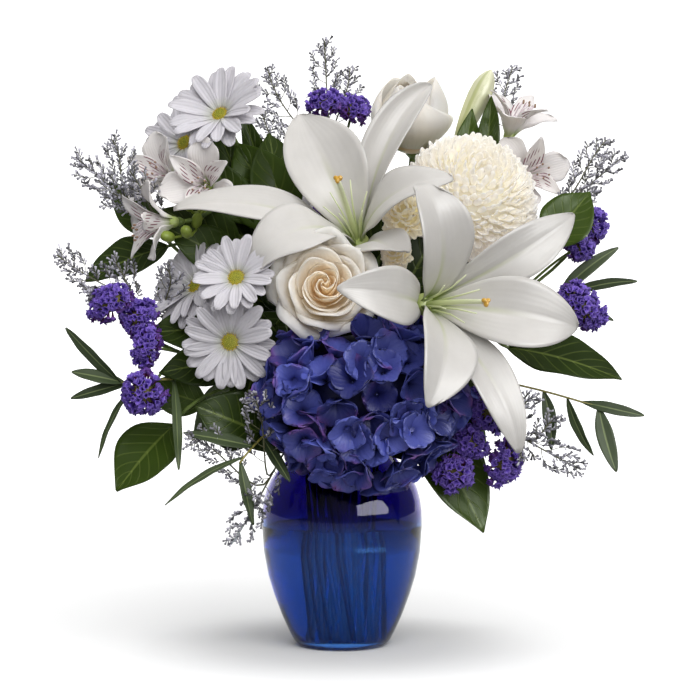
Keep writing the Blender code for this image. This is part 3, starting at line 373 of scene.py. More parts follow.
surface = [(radius, WATER_LEVEL - depth) for radius, depth in MENISCUS]
water_side = inner_wall(GLASS_WALL - WETTING, WALL_START, WATER_LEVEL - 0.001)
bottom = [(FLOOR_TURN + WETTING, VASE_FLOOR + FLOOR_TURN_RISE - WETTING), (FLOOR_FLAT, VASE_FLOOR - WETTING),
          (0.0, VASE_FLOOR - WETTING)]
add_piece("water_body", turned(surface + water_side[::-1] + bottom), clear_water(), ["water"])


# Lilies. Three broad petals stand inside three narrower ones round a green throat, all recurved, with a ridge
# sunk along the middle. The anthers have been picked off, so only pale filaments stand round the long pistil.
MARKS = ("along", "across", "tint")


def new_piece():
    """An empty bmesh whose points can be marked for their finish."""
    bm = bmesh.new()
    for mark in MARKS:
        bm.verts.layers.float.new(mark)
    return bm


def mark_points(bm, verts, along, tint):
    for vert in verts:
        vert[bm.verts.layers.float["along"]] = along
        vert[bm.verts.layers.float["tint"]] = tint


def sheet(bm, steps, lanes, place, tint=0.5, reach=1.0):
    """A grid laid out by place(u, v), with u from 0 at the root to 1 at the tip and v from -1 to 1 across.

    Its finish runs from the root up to the part called reach.
    """
    along, across, shade = [bm.verts.layers.float[mark] for mark in MARKS]
    for vert in bmesh.ops.create_grid(bm, x_segments=steps, y_segments=lanes, size=1.0)["verts"]:
        u, v = (vert.co.x + 1) / 2, vert.co.y
        vert[along], vert[across], vert[shade] = u * reach, v, tint
        vert.co = place(u, v)


def square_to(way, side):
    """The direction nearest to side that is square to way."""
    return (side - way * side.dot(way)).normalized()


def on_ring(turn, radius, height=0.0):
    """The point at this turn about +Z, this far out and this high."""
    return Vector((radius * math.cos(turn), radius * math.sin(turn), height))


def rod(bm, points, radius, sides=8, tip_radius=None, tint=0.5):
    """A round stem through the points, tapering to its tip and closed at both ends."""
    tip_radius = radius if tip_radius is None else tip_radius
    ways = [(after - before).normalized() for before, after in zip(points, points[1:])]
    ways = [ways[0]] + [(a + b).normalized() for a, b in zip(ways, ways[1:])] + [ways[-1]]
    side = ways[0].orthogonal().normalized()
    rings = []
    for index, (point, way) in enumerate(zip(points, ways)):
        side = square_to(way, side)
        share = index / (len(points) - 1)
        rings.append((point, side.copy(), way.cross(side), radius + (tip_radius - radius) * share))
    rings = [(*rings[0][:3], 0.0)] + rings + [(*rings[-1][:3], 0.0)]

    def place(u, v):
        point, right, up, wide = rings[round(u * (len(rings) - 1))]
        turn = v * math.pi
        return point + (right * math.cos(turn) + up * math.sin(turn)) * wide
    sheet(bm, len(rings) - 1, sides, place, tint)


def close_seams(bm):
    bmesh.ops.remove_doubles(bm, verts=bm.verts[:], dist=2e-6)


def placed(base, facing, roll=0.0):
    """The frame of a flower that sits at base and looks along facing, its local +Z; local +Y leans up."""
    turn = Vector(facing).normalized().to_track_quat("Z", "Y").to_matrix().to_4x4()
    return Matrix.Translation(Vector(base)) @ turn @ Matrix.Rotation(math.radians(roll), 4, "Z")


def around(flower, azimuth, lift=0.0):
    """The flower's frame, lifted, and turned so that a petal points to this azimuth, 0 right and 90 up."""
    return flower @ Matrix.Rotation(math.radians(azimuth), 4, "Z") @ Matrix.Translation((0, 0, lift))


def width_share(u, root, belly, tip, taper, throat):
    """How wide a petal is at u along it, as a share of its widest, which lies at belly."""
    if u < belly:
        return root + (1 - root) * math.sin(math.pi / 2 * u / belly) ** throat
    return tip + (1 - tip) * max(0.0, math.cos(math.pi / 2 * (u - belly) / (1 - belly))) ** taper


# Along a petal its tip curls from here on, and across it the edges roll back from here on
CURL_FROM = 0.62
ROLL_FROM = 0.6
# The midrib's half width as a share of the petal's, and how far out of step the waves on its two edges are
MIDRIB_SHARE = 0.16
EDGE_LAG = 1.3


def petal(bm, root_frame, length, width, lean, steps=16, lanes=8, tint=0.5, start=0.0, root=0.12, belly=0.6,
          tip=0.3, throat=1.5, taper=1.0, dish=0.1, groove=0.0, ruffle=0.0, waves=3.0, phase=0.0, curl=0.0,
          twist=0.0, sway=0.0, roll_edge=0.0):
    """A petal or leaf from its root on a flower's axis.

    lean is the angle from the axis at the root, the middle and the tip, in degrees, and curl is added near
    the tip. start is how far from the axis the root lies, dish lifts the edges in half widths, groove sinks
    the midrib, ruffle waves the edges, twist turns the tip about the midrib, sway bends it aside in shares of
    its length, and roll_edge turns the very edges back.
    """
    spine = []
    radius, height = start, 0.0
    for step in range(steps + 1):
        u = step / steps
        angle = lean[0] * (1 - u) ** 2 + lean[1] * 2 * u * (1 - u) + lean[2] * u * u
        angle = math.radians(angle + curl * max(0.0, (u - CURL_FROM) / (1 - CURL_FROM)) ** 2)
        spine.append((radius, height, angle))
        radius += math.sin(angle) * length / steps
        height += math.cos(angle) * length / steps

    def place(u, v):
        radius, height, angle = spine[round(u * steps)]
        half = width / 2 * width_share(u, root, belly, tip, taper, throat)
        pull = width / 2 * tip * (1 - math.sqrt(max(0.0, 1 - v * v))) * u**6
        across = v * half
        lift = dish * half * v * v - groove * math.exp(-(v / MIDRIB_SHARE) ** 2) * min(1.0, 4 * (1 - u))
        wave = 2 * math.pi * waves * u + phase + (EDGE_LAG if v > 0 else 0.0)
        lift += ruffle * v * v * math.sin(wave) * min(1, 3 * u)
        lift -= roll_edge * half * max(0.0, abs(v) - ROLL_FROM) ** 2 * min(1, 3 * u)
        turn = math.radians(twist) * u * u
        across, lift = (across * math.cos(turn) - lift * math.sin(turn),
                        across * math.sin(turn) + lift * math.cos(turn))
        return root_frame @ Vector((
            radius - math.cos(angle) * lift - math.sin(angle) * pull, across + sway * length * u * u,
            height + math.sin(angle) * lift - math.cos(angle) * pull))
    sheet(bm, steps, lanes, place, tint)


def ball(bm, ball_frame, size, rings=8, sides=12, centre=(0, 0, 0), tint=0.5, along=0.5):
    """An ellipsoid of these half-sizes."""
    shape = ball_frame @ Matrix.Translation(centre) @ Matrix.Diagonal((*size, 1.0))
    made = bmesh.ops.create_uvsphere(bm, u_segments=sides, v_segments=rings, radius=1.0, matrix=shape)
    mark_points(bm, made["verts"], along, tint)


LILY_STEP = 0.0022
LILY_PETAL = {"steps": 30, "lanes": 14, "groove": 0.0011, "waves": 1.7, "root": 0.13, "tip": 0.10,
              "throat": 1.6, "taper": 0.85}
LILY_OUTER = {"width": 0.037, "lean": (24, 62, 104), "start": 0.0060, "dish": 0.16, "belly": 0.56}
LILY_INNER = {"width": 0.055, "lean": (10, 54, 100), "start": 0.0032, "dish": 0.26, "belly": 0.58}
# Each petal is (azimuth, length, kind, and what is its own)
LILIES = {
    "lily_left": ((0.013, -0.018, 0.296), (-0.20, -0.76, 0.62), [
        (8, 0.106, LILY_INNER, {"curl": 30, "ruffle": 0.0022, "phase": 1.0, "roll_edge": 0.9, "width": 0.040,
                                "twist": -10, "sway": 0.04}),
        (65, 0.138, LILY_OUTER, {"curl": 8, "twist": 34, "dish": 0.95, "width": 0.028}),
        (118, 0.114, LILY_INNER, {"curl": -14, "ruffle": 0.0015, "width": 0.057, "dish": 0.36, "sway": 0.04,
                                  "roll_edge": 0.3}),
        (192, 0.146, LILY_OUTER, {"curl": 10, "ruffle": 0.0016, "sway": -0.06, "width": 0.034, "twist": 8}),
        (226, 0.114, LILY_INNER, {"curl": 76, "ruffle": 0.0024, "phase": 2.2, "roll_edge": 0.8, "twist": -6,
                                  "width": 0.048, "tip": 0.24, "lean": (10, 57, 108)}),
        (318, 0.076, LILY_OUTER, {"curl": -70, "twist": -35, "ruffle": 0.0014, "roll_edge": 0.5})]),
    "lily_right": ((0.056, -0.058, 0.252), (0.54, -0.84, 0.06), [
        (104, 0.110, LILY_INNER, {"curl": 46, "ruffle": 0.0016, "dish": 0.30, "width": 0.047, "sway": 0.10,
                                  "roll_edge": 0.4, "twist": 6, "tip": 0.46, "lean": (13, 61, 100)}),
        (36, 0.134, LILY_OUTER, {"curl": 4, "ruffle": 0.0014, "width": 0.036, "sway": -0.05, "twist": -8}),
        (345, 0.124, LILY_INNER, {"curl": 16, "ruffle": 0.0018, "phase": 1.5, "groove": 0.0018, "width": 0.050,
                                  "sway": 0.03, "roll_edge": 0.4}),
        (246, 0.112, LILY_INNER, {"curl": 10, "ruffle": 0.0014, "phase": 0.6, "width": 0.048, "sway": -0.05,
                                  "roll_edge": 0.4}),
        (290, 0.134, LILY_OUTER, {"curl": 14, "ruffle": 0.0016, "phase": 2.0, "twist": 18, "width": 0.033}),
        (180, 0.118, LILY_OUTER, {"curl": 18, "ruffle": 0.0014, "width": 0.040, "sway": -0.05,
                                  "roll_edge": 0.3})]),
}
PISTIL_LENGTH = 0.078
PISTIL_DROOP = Vector((0, 0, -0.004))
FILAMENT_LENGTH = 0.052
# The closed bud's base, the way it points, its length and its radius
LILY_BUD = ((0.090, 0.070, 0.382), (0.42, 0.0, 0.90), 0.066, 0.0095)
# Its outline, as (share of its length, share of its radius)
BUD_SHAPE = [(0.0, 0.25), (0.08, 0.48), (0.2, 0.66), (0.35, 0.84), (0.5, 0.95), (0.65, 1.0), (0.78, 0.94),
             (0.88, 0.72), (0.95, 0.42), (1.0, 0.0)]


def lily_white():
    finish = Finish("lily_petal", Roughness=0.42, Specular_IOR_Level=0.35)
    finish.lets_light_through(0.3, 0.0015)
    along, across, cloud = finish.mark("along"), finish.mark("across"), finish.cloud(60.0)
    white = finish.mix(cloud, tone(194, 191, 187), tone(210, 207, 203))
    rib = abs(across).rise(0.16, 0.0) * along.rise(0.75, 0.10)
    streak = ((across * 34.0 + cloud * 2.0).sine() * 0.5 + 0.5) * along.rise(0.5, 0.1)
    veined = finish.mix(rib * 0.70 + streak * 0.08, white, tone(176, 184, 128))
    finish.colour(along.rise(0.24, 0.04), veined, tone(140, 160, 70))
    finish.bump((across * 38.0 + cloud * 5.0).sine() * 0.25 + cloud, 0.00020, 0.30)
    return finish


def pistil_green():
    """Green to white up the pistil, and ochre on the stigma, which is marked with a tint of 1."""
    finish = Finish("pistil_green", Roughness=0.4)
    green = finish.mix(finish.mark("along"), tone(186, 200, 120), tone(226, 230, 196))
    finish.colour(finish.mark("tint").rise(0.85, 0.95), green, tone(206, 158, 48))
    finish.bump(finish.cloud(900.0), 0.0001)
    return finish


def bud_cream():
    finish = Finish("lily_bud", Roughness=0.45)
    cream = finish.mix(finish.mark("along"), tone(204, 210, 156), tone(238, 236, 210))
    ribs = (finish.mark("across") * (3.0 * math.pi)).sine().rise(0.55, 1.0)
    finish.colour(ribs * 0.55 + finish.cloud(90.0) * 0.25, cream, tone(168, 176, 106))
    finish.bump(finish.cloud(300.0, 3.0, (1, 1, 0.1)), 0.0003)
    return finish


def bud_point(u, v):
    """The closed bud's skin, pinched in where its three outer petals meet."""
    base, facing, length, radius = LILY_BUD
    where = u * (len(BUD_SHAPE) - 1)
    low = min(int(where), len(BUD_SHAPE) - 2)
    (h0, r0), (h1, r1) = BUD_SHAPE[low], BUD_SHAPE[low + 1]
    height, share = h0 + (h1 - h0) * (where - low), r0 + (r1 - r0) * (where - low)
    ridge = 1 - 0.16 * abs(math.cos(1.5 * v * math.pi)) ** 3 * min(1, 3 * u)
    return placed(base, facing) @ on_ring(v * math.pi, radius * share * ridge, height * length)


lily_finish, pistil_finish = lily_white(), pistil_green()
for name, (base, facing, petals) in LILIES.items():
    bm = new_piece()
    heart = placed(base, facing)
    for index, (azimuth, length, kind, own) in enumerate(petals):
        style = {**LILY_PETAL, "phase": index * 1.1, **kind, **own}
        petal(bm, around(heart, azimuth, LILY_STEP), length, tint=index / 6, **style)
    add_piece(name + "_petals", bm, lily_finish, [name], thickness=0.0010)
    bm = new_piece()
    shares = [step / 8 for step in range(9)]
    pistil = [heart @ Vector((0, 0, PISTIL_LENGTH * share)) + PISTIL_DROOP * share**2 for share in shares]
    rod(bm, pistil, 0.0023, sides=10, tip_radius=0.0016)
    stigma = heart @ Vector((0, 0, PISTIL_LENGTH)) + PISTIL_DROOP
    for lobe in range(3):
        turn = placed(stigma, facing, 120 * lobe + 30)
        ball(bm, turn, (0.0024, 0.0017, 0.0022), centre=(0.0014, 0, 0.0004), tint=1.0)
    for index in range(6):
        turn = math.radians(60 * index + 25)
        reach = FILAMENT_LENGTH + 0.003 * math.sin(index * 2.1)
        rod(bm, [heart @ on_ring(turn, out, height) for out, height in (
            (0.0030, 0.002), (0.0050, reach * 0.35), (0.0095, reach * 0.7), (0.0165, reach))], 0.0009,
            sides=6, tip_radius=0.0005)
    ball(bm, heart, (0.0085, 0.0085, 0.0060), sides=14, centre=(0, 0, 0.0050), along=0.0)
    close_seams(bm)
    add_piece(name + "_pistil", bm, pistil_finish)
bm = new_piece()
sheet(bm, 27, 36, bud_point)
close_seams(bm)
add_piece("lily_bud_closed", bm, bud_cream(), ["lily_bud"])


# Roses. Cream petals are wound round a tight heart, each tucked under the next, and the outer ones roll
# their rims back and come to a soft point. The front one is half open, and the back one is a large, loose,
# closed bloom.
ROSE_SEAT = 0.0035
# Each turn of petals, from the heart outwards, is (how many, radius at the root, the belly and the rim,
# height, half span in degrees, roll of the rim)
ROSE_FRONT_TURNS = [
    (2, 0.0010, 0.0022, 0.0018, 0.0322, 160, 0.00),
    (3, 0.0017, 0.0036, 0.0037, 0.0328, 118, 0.02),
    (3, 0.0025, 0.0054, 0.0060, 0.0333, 108, 0.05),
    (3, 0.0036, 0.0078, 0.0088, 0.0338, 100, 0.10),
    (3, 0.0048, 0.0106, 0.0122, 0.0343, 92, 0.16),
    (3, 0.0062, 0.0140, 0.0164, 0.0343, 84, 0.26),
    (4, 0.0076, 0.0182, 0.0212, 0.0334, 74, 0.42),
    (5, 0.0090, 0.0228, 0.0268, 0.0314, 64, 0.62),
    (5, 0.0102, 0.0272, 0.0320, 0.0280, 56, 0.85),
]
ROSE_BACK_TURNS = [
    (3, 0.0020, 0.0060, 0.0030, 0.0330, 110, 0.00),
    (3, 0.0045, 0.0120, 0.0060, 0.0345, 100, 0.02),
    (3, 0.0070, 0.0190, 0.0080, 0.0356, 96, 0.05),
    (3, 0.0085, 0.0245, 0.0120, 0.0350, 96, 0.20),
]
# Each rose is (base, the way it faces, size, its turns, seed)
ROSES = {
    "rose_front": ((-0.012, -0.051, 0.260), (0.0, -0.97, 0.20), 1.0, ROSE_FRONT_TURNS, 11),
    "rose_back": ((0.056, 0.086, 0.380), (-0.05, -0.50, 0.86), 1.42, ROSE_BACK_TURNS, 5),
}


def rose_petal(bm, rose_frame, azimuth, sizes, size, tint, jitter):
    """A cupped petal that stands on the seat, one edge tucked inside its neighbour, its rim rolled back."""
    root, belly, rim, height, half_span, roll = sizes
    lift = 1 + jitter.uniform(-0.03, 0.03)
    sway = jitter.uniform(-0.3, 0.3)
    pointed = jitter.uniform(0.03, 0.07) + 0.26 * roll
    wave = jitter.uniform(0, 6)

    def place(u, v):
        tuck = 0.0030 * v * (0.4 + 0.6 * u)
        radius = root * (1 - u) ** 2 + belly * 2.6 * u * (1 - u) + rim * u * u + tuck
        fold = max(0.0, (u - 0.74) / 0.26)
        radius += roll * 0.010 * fold**2 * (1 - 0.4 * v * v)
        radius += 0.0006 * u * math.sin(5 * v + wave) * roll * 2
        rounded = 1 - 0.30 * abs(v) ** 3 * u + pointed * (1 - abs(v)) ** 2 * u**4
        rise = ROSE_SEAT + height * lift * rounded * u - roll * 0.006 * fold**3
        opening = 0.55 + 0.45 * math.sin(math.pi * min(1, u * 0.85 + 0.1))
        turn = math.radians(azimuth + v * half_span * opening + sway * 10 * u)
        return rose_frame @ (on_ring(turn, radius, rise) * size)
    sheet(bm, 16, 20, place, tint)


def rose_cream():
    """Cream, warmer towards the heart; a petal's tint says how far out its turn is."""
    finish = Finish("rose_petal", Roughness=0.5, Specular_IOR_Level=0.25, Sheen_Weight=0.15)
    finish.lets_light_through(0.8, 0.004)
    along, turn, cloud = finish.mark("along"), finish.mark("tint"), finish.cloud(70.0)
    outer = finish.mix(cloud, tone(251, 241, 224), tone(254, 248, 236))
    heart = finish.mix(along.rise(0.60, 1.0), tone(250, 214, 160), tone(255, 240, 214))
    deep = finish.mix(turn.rise(0.9, 0.6), tone(226, 216, 166), tone(246, 206, 150))
    finish.colour(along.rise(0.62, 0.15) * 0.7, finish.mix(turn.rise(0.85, 0.10), outer, heart), deep)
    # Painted glow, strongest in the inner turns, for light caught between the wound petals
    finish.glows_within(turn.rise(1.3, 0.2), (0.048, 0.035, 0.019))
    finish.bump((finish.mark("across") * 60.0 + cloud * 4.0).sine() * 0.3 + cloud, 0.00025, 0.5)
    return finish


rose_finish = rose_cream()
for name, (base, facing, size, turns, seed) in ROSES.items():
    bm = new_piece()
    rose_frame = placed(base, facing)
    jitter = random.Random(seed)
    for turn, (count, *sizes) in enumerate(turns):
        for index in range(count):
            azimuth = 360 / count * index + 47 * turn + jitter.uniform(-8, 8)
            share = turn / (len(turns) - 1) if name == "rose_front" else 1.0
            rose_petal(bm, rose_frame, azimuth, sizes, size, share, jitter)
    hip = (0.0115 * size, 0.0115 * size, 0.0070 * size)
    ball(bm, rose_frame, hip, sides=14, centre=(0, 0, 0.0062 * size), along=0.0)
    add_piece(name + "_petals", bm, rose_finish, [name], thickness=0.0004)


# Hydrangea. One rounded head of florets, each with four broad cupped petals that overlap their neighbours'
# and a bead in the middle. The petals are royal blue, violet at their edges and painted dark navy towards
# their roots, as painted shade in the gaps. No floret grows where the front rose is pushed in.
# The head's base, the way it faces and the half-sizes of its core
HYDRANGEA = ((0.016, -0.056, 0.186), (0.03, -0.99, 0.08), (0.058, 0.049, 0.034))
HEAD_CENTRE = 0.006
FLORETS = 84
PETAL_STEP = 0.0008
FLORET_PETAL = {"steps": 8, "lanes": 8, "start": 0.0006, "root": 0.20, "belly": 0.56, "tip": 0.40,
                "throat": 1.0, "taper": 0.8, "groove": 0.0004, "ruffle": 0.0007, "waves": 1.2}
# The rose's heart lies this far in front of its base, and clears this much room round it
ROSE_HEART = 0.022
ROSE_ROOM = 0.044
GOLDEN_TURN = math.pi * (3 - math.sqrt(5))


def spread_over_ball(count, lowest):
    """Directions spaced evenly over a ball about +Z, from the pole down to the height called lowest."""
    for index in range(count):
        z = 1 - (1 - lowest) * (index + 0.5) / count
        yield on_ring(GOLDEN_TURN * index, math.sqrt(1 - z * z), z)


def hydrangea_blue():
    finish = Finish("hydrangea_petal", Roughness=0.5, Specular_IOR_Level=0.3)
    along, across = finish.mark("along"), abs(finish.mark("across"))
    blue = finish.mix(finish.mark("tint"), tone(24, 28, 91), tone(93, 103, 192))
    edge = (along.rise(0.45, 1.0) + across.rise(0.5, 1.0)) * 0.5
    blushed = finish.mix(edge * finish.cloud(38.0, 2.0).rise(0.50, 0.72), blue, tone(138, 84, 160))
    # Painted shade: dark navy towards each petal's root, where the gaps between the florets lie
    finish.colour(along.rise(0.45, 0.0) * 0.7, blushed, tone(16, 18, 64))
    veins = ((across * 22.0 - along * 9.0).sine() * 0.5 + 0.5) ** 3.0
    finish.bump(veins * 0.6 + finish.cloud(120.0) * 0.5, 0.0003, 0.6)
    return finish


def bead_blue():
    finish = Finish("hydrangea_bead", Roughness=0.5)
    finish.colour(finish.cloud(800.0), tone(54, 60, 140), tone(110, 120, 184))
    return finish


base, facing, core = HYDRANGEA
head = placed(base, facing)
rose_heart = Vector(ROSES["rose_front"][0]) + Vector(ROSES["rose_front"][1]) * ROSE_HEART
jitter = random.Random(3)
bm, beads = new_piece(), new_piece()
for way in spread_over_ball(FLORETS, -0.22):
    on_core = Vector((way.x * core[0], way.y * core[1], way.z * core[2] + HEAD_CENTRE))
    outward = Vector((way.x / core[0], way.y / core[1], way.z / core[2])).normalized()
    spot = head @ (on_core + outward * jitter.uniform(0.000, 0.0070))
    if (spot - rose_heart).length < ROSE_ROOM:
        continue
    loll = Vector([jitter.uniform(-0.62, 0.62) for _ in range(3)])
    floret = placed(spot, head.to_3x3() @ (outward + loll), jitter.uniform(0, 90))
    size = jitter.uniform(0.0180, 0.0218)
    tint = jitter.random()
    for side in range(4):
        root_frame = around(floret, 90 * side + jitter.uniform(-7, 7), PETAL_STEP * (side % 2))
        petal(bm, root_frame, size, size * jitter.uniform(1.10, 1.30),
              (20, jitter.uniform(42, 84), jitter.uniform(40, 108)), tint=tint,
              dish=jitter.uniform(0.10, 0.34), phase=jitter.uniform(0, 6), **FLORET_PETAL)
    ball(beads, floret, (0.0007, 0.0007, 0.0007), 4, 6, (0, 0, 0.0012))
# The core is marked darkest and as a petal root, so it takes the painted shade as well
ball(bm, head, [half - 0.004 for half in core], 16, 24, (0, 0, HEAD_CENTRE), tint=0.0, along=0.0)
add_piece("hydrangea_florets", bm, hydrangea_blue(), ["hydrangea_head"], thickness=0.0005)
add_piece("hydrangea_beads", beads, bead_blue())


# Football chrysanthemum and the small cream blooms. Strap petals with ragged tips stand all over a ball and
# curl in towards its top, white at their tips and yellowish where they lie deep.
# Each bloom is (base, the way it faces, the ball's radius and half height, petals, their width and length,
# how far down the ball they go, seed)
CROWDS = {
    "mum_bloom": ((0.086, 0.036, 0.312), (0.24, -0.80, 0.55), 0.0440, 0.0375, 520, (0.0074, 0.0175), -0.45, 5),
    "cream_bloom_upper": (
        (0.047, -0.025, 0.309), (-0.05, -0.80, 0.60), 0.0125, 0.0120, 60, (0.0088, 0.0125), -0.5, 6),
    "cream_bloom_lower": (
        (0.040, -0.048, 0.286), (-0.10, -0.95, 0.30), 0.0080, 0.0080, 36, (0.0080, 0.0090), -0.5, 7),
}
STRAP_PETAL = {"steps": 7, "lanes": 4, "root": 0.4, "belly": 0.70, "tip": 0.62, "throat": 1.0,
               "groove": 0.0004, "waves": 1.6}


def strap_cream(name, shaded, lit, deep):
    finish = Finish(name, Roughness=0.55, Specular_IOR_Level=0.2)
    finish.lets_light_through(0.7, 0.004)
    along, cloud = finish.mark("along"), finish.cloud(80.0)
    finish.colour(along.rise(0.10, 0.55), deep, finish.mix(cloud, shaded, lit))
    # Painted glow, strongest towards the tips, for light caught among the crowded petals
    finish.glows_within(along.rise(-0.2, 0.6), (0.085, 0.073, 0.070))
    finish.bump((finish.mark("across") * 16.0).sine() * 0.5 + cloud, 0.0003, 0.6)
    return finish


def standing(base, along, up):
    """The frame at base whose local +X runs along and local +Z up."""
    return Matrix.Translation(base) @ Matrix((along, up.cross(along), up)).transposed().to_4x4()


mum_finish = strap_cream("mum_petal", tone(255, 250, 234), tone(255, 253, 244), tone(254, 246, 212))
cream_finish = strap_cream("cream_petal", tone(240, 230, 186), tone(249, 242, 208), tone(238, 220, 142))
for name, (base, facing, core, centre, count, (width, length), lowest, seed) in CROWDS.items():
    bm = new_piece()
    crown = placed(base, facing)
    pole = crown.to_3x3() @ Vector((0, 0, 1))
    jitter = random.Random(seed)
    for way in spread_over_ball(count, lowest):
        outward = crown.to_3x3() @ way
        away = outward * outward.dot(pole) - pole
        away = away.normalized() if away.length > 0.05 else outward.orthogonal().normalized()
        root = crown @ Vector((way.x * core, way.y * core, way.z * centre + centre)) - outward * length * 0.45
        spot = around(standing(root, away, outward), jitter.uniform(-25, 25))
        petal(bm, spot, length * jitter.uniform(0.88, 1.10), width * jitter.uniform(0.8, 1.15),
              (jitter.uniform(4, 22), 4, jitter.uniform(-85, -30)), tint=jitter.random(),
              dish=jitter.uniform(0.25, 0.6), ruffle=width * 0.10, phase=jitter.uniform(0, 6),
              twist=jitter.uniform(-25, 25), **STRAP_PETAL)
    ball(bm, crown, (core * 0.95, core * 0.95, centre * 0.95), 12, 20, (0, 0, centre), along=0.2)
    add_piece(name + "_petals", bm, mum_finish if name == "mum_bloom" else cream_finish, [name],
              thickness=0.0005)


# Daisies. Two rings of blunt, grooved petals round a domed disc of tiny packed florets, green in its middle
# and ochre at its rim. The daisies on one spray lean apart, and their petals droop or lift a little.
# Each daisy is (base, the way it faces, radius, how much its petals lift, petals in a ring)
DAISIES = {
    "daisy_top": ((-0.090, -0.008, 0.394), (-0.32, -0.78, 0.54), 0.040, 0.14, 13),
    "daisy_top_left": ((-0.121, 0.046, 0.380), (-0.50, -0.78, 0.30), 0.036, 0.10, 12),
    "daisy_middle": ((-0.074, -0.071, 0.270), (-0.20, -0.87, 0.42), 0.032, 0.14, 12),
    "daisy_low": ((-0.079, -0.066, 0.226), (-0.12, -0.98, -0.10), 0.035, 0.08, 12),
    "daisy_side": ((-0.106, -0.026, 0.266), (-0.58, -0.64, 0.42), 0.037, 0.12, 13),
    "daisy_back_left": ((-0.052, 0.078, 0.325), (-0.35, 0.82, 0.40), 0.035, 0.12, 12),
    "daisy_back_right": ((0.048, 0.092, 0.290), (0.30, 0.88, 0.30), 0.035, 0.12, 12),
}
DAISY_DISC = 0.0074
DISC_LEVEL = 0.0014
DISC_RISE = 0.0030
DISC_FLORETS = 110
DAISY_PETAL = {"steps": 9, "lanes": 6, "start": 0.0045, "root": 0.38, "belly": 0.64, "tip": 0.72,
               "throat": 1.0, "dish": 0.22, "groove": 0.0004}
RING_STEP = 0.0012


def daisy_white():
    finish = Finish("daisy_petal", Roughness=0.5, Specular_IOR_Level=0.25)
    finish.lets_light_through(0.25, 0.001)
    cloud = finish.cloud(90.0)
    white = finish.mix(cloud, tone(195, 192, 198), tone(211, 208, 213))
    finish.colour(finish.mark("along").rise(0.34, 0.0) * 0.6, white, tone(160, 166, 138))
    finish.bump((finish.mark("across") * 13.0).sine() + cloud * 0.4, 0.00022, 0.45)
    return finish


def disc_yellow():
    finish = Finish("daisy_disc", Roughness=0.7)
    yellow = finish.mix(finish.mark("along").rise(0.35, 0.85), tone(112, 128, 28), tone(206, 164, 30))
    finish.colour(finish.mark("tint") * 0.5, yellow, tone(226, 206, 70))
    finish.bump(finish.cloud(2500.0), 0.0001)
    return finish


daisy_finish, disc_finish = daisy_white(), disc_yellow()
for seed, (name, (base, facing, radius, dish, count)) in enumerate(DAISIES.items()):
    bm, disc = new_piece(), new_piece()
    daisy = placed(base, facing)
    jitter = random.Random(40 + seed)
    for ring in range(2):
        for index in range(count):
            azimuth = 360 / count * (index + 0.5 * ring) + jitter.uniform(-4, 4)
            rise = 90 - math.degrees(math.atan(dish)) - 7 * ring + jitter.uniform(-7, 7)
            length = (radius - DAISY_PETAL["start"]) * jitter.uniform(0.93, 1.03)
            width = radius * jitter.uniform(0.26, 0.33)
            petal(bm, around(daisy, azimuth, RING_STEP * (1 + ring)), length, width,
                  (rise - 12, rise, rise + jitter.uniform(0, 16)), tint=jitter.random(),
                  twist=jitter.uniform(-16, 16), sway=jitter.uniform(-0.04, 0.04), **DAISY_PETAL)
    ball(disc, daisy, (DAISY_DISC, DAISY_DISC, DISC_RISE), 10, 20, (0, 0, DISC_LEVEL), along=0.4)
    for index in range(DISC_FLORETS):
        share = math.sqrt((index + 0.5) / DISC_FLORETS)
        height = DISC_LEVEL + DISC_RISE * math.sqrt(max(0.0, 1 - share * share * 0.85))
        spot = on_ring(index * GOLDEN_TURN, share * DAISY_DISC, height)
        ball(disc, daisy, (0.00042, 0.00042, 0.0008), 4, 6, spot, tint=jitter.random(), along=share)
    add_piece(name + "_petals", bm, daisy_finish, [name], thickness=0.0005)
    add_piece(name + "_disc", disc, disc_finish)


# Alstroemerias. Three broad outer petals and three narrow inner ones make an open funnel, green at its base.
# The inner petals carry short maroon streaks, and pale stamens curve out of the throat.
# Each is (base, the way it faces, roll about its axis)
ALSTROEMERIAS = {
    "alstroemeria_left_front": ((-0.098, -0.012, 0.341), (-0.22, -0.95, 0.12), 20),
    "alstroemeria_left_back": ((-0.124, 0.016, 0.346), (-0.58, -0.66, 0.36), 50),
    "alstroemeria_left_low": ((-0.120, -0.030, 0.314), (-0.90, -0.38, -0.08), 5),
    "alstroemeria_right_top": ((0.129, 0.058, 0.384), (0.32, -0.35, 0.88), 30),
    "alstroemeria_right": ((0.141, 0.064, 0.354), (0.22, -0.93, 0.15), 75),
}
# The inner petals and the outer ones, by turns: (length, lean, how far the tip's lean varies, shape)
FUNNEL_PETALS = [
    (0.044, (8, 34, 72), (-8, 12), {
        "width": 0.0150, "lanes": 8, "tint": 1.0, "start": 0.0016, "belly": 0.58, "tip": 0.20, "dish": 0.30,
        "groove": 0.0007, "ruffle": 0.0006, "waves": 2.0}),
    (0.041, (22, 50, 92), (-10, 12), {
        "width": 0.0245, "lanes": 10, "tint": 0.0, "start": 0.0027, "belly": 0.72, "tip": 0.42, "dish": 0.22,
        "groove": 0.0006, "ruffle": 0.0008, "waves": 2.2}),
]
# A stamen's way out of the throat: (distance from the axis, droop, height)
STAMEN = [(0.0015, 0, 0.006), (0.0028, 0.0005, 0.018), (0.0045, 0.0030, 0.028), (0.0055, 0.0060, 0.033)]


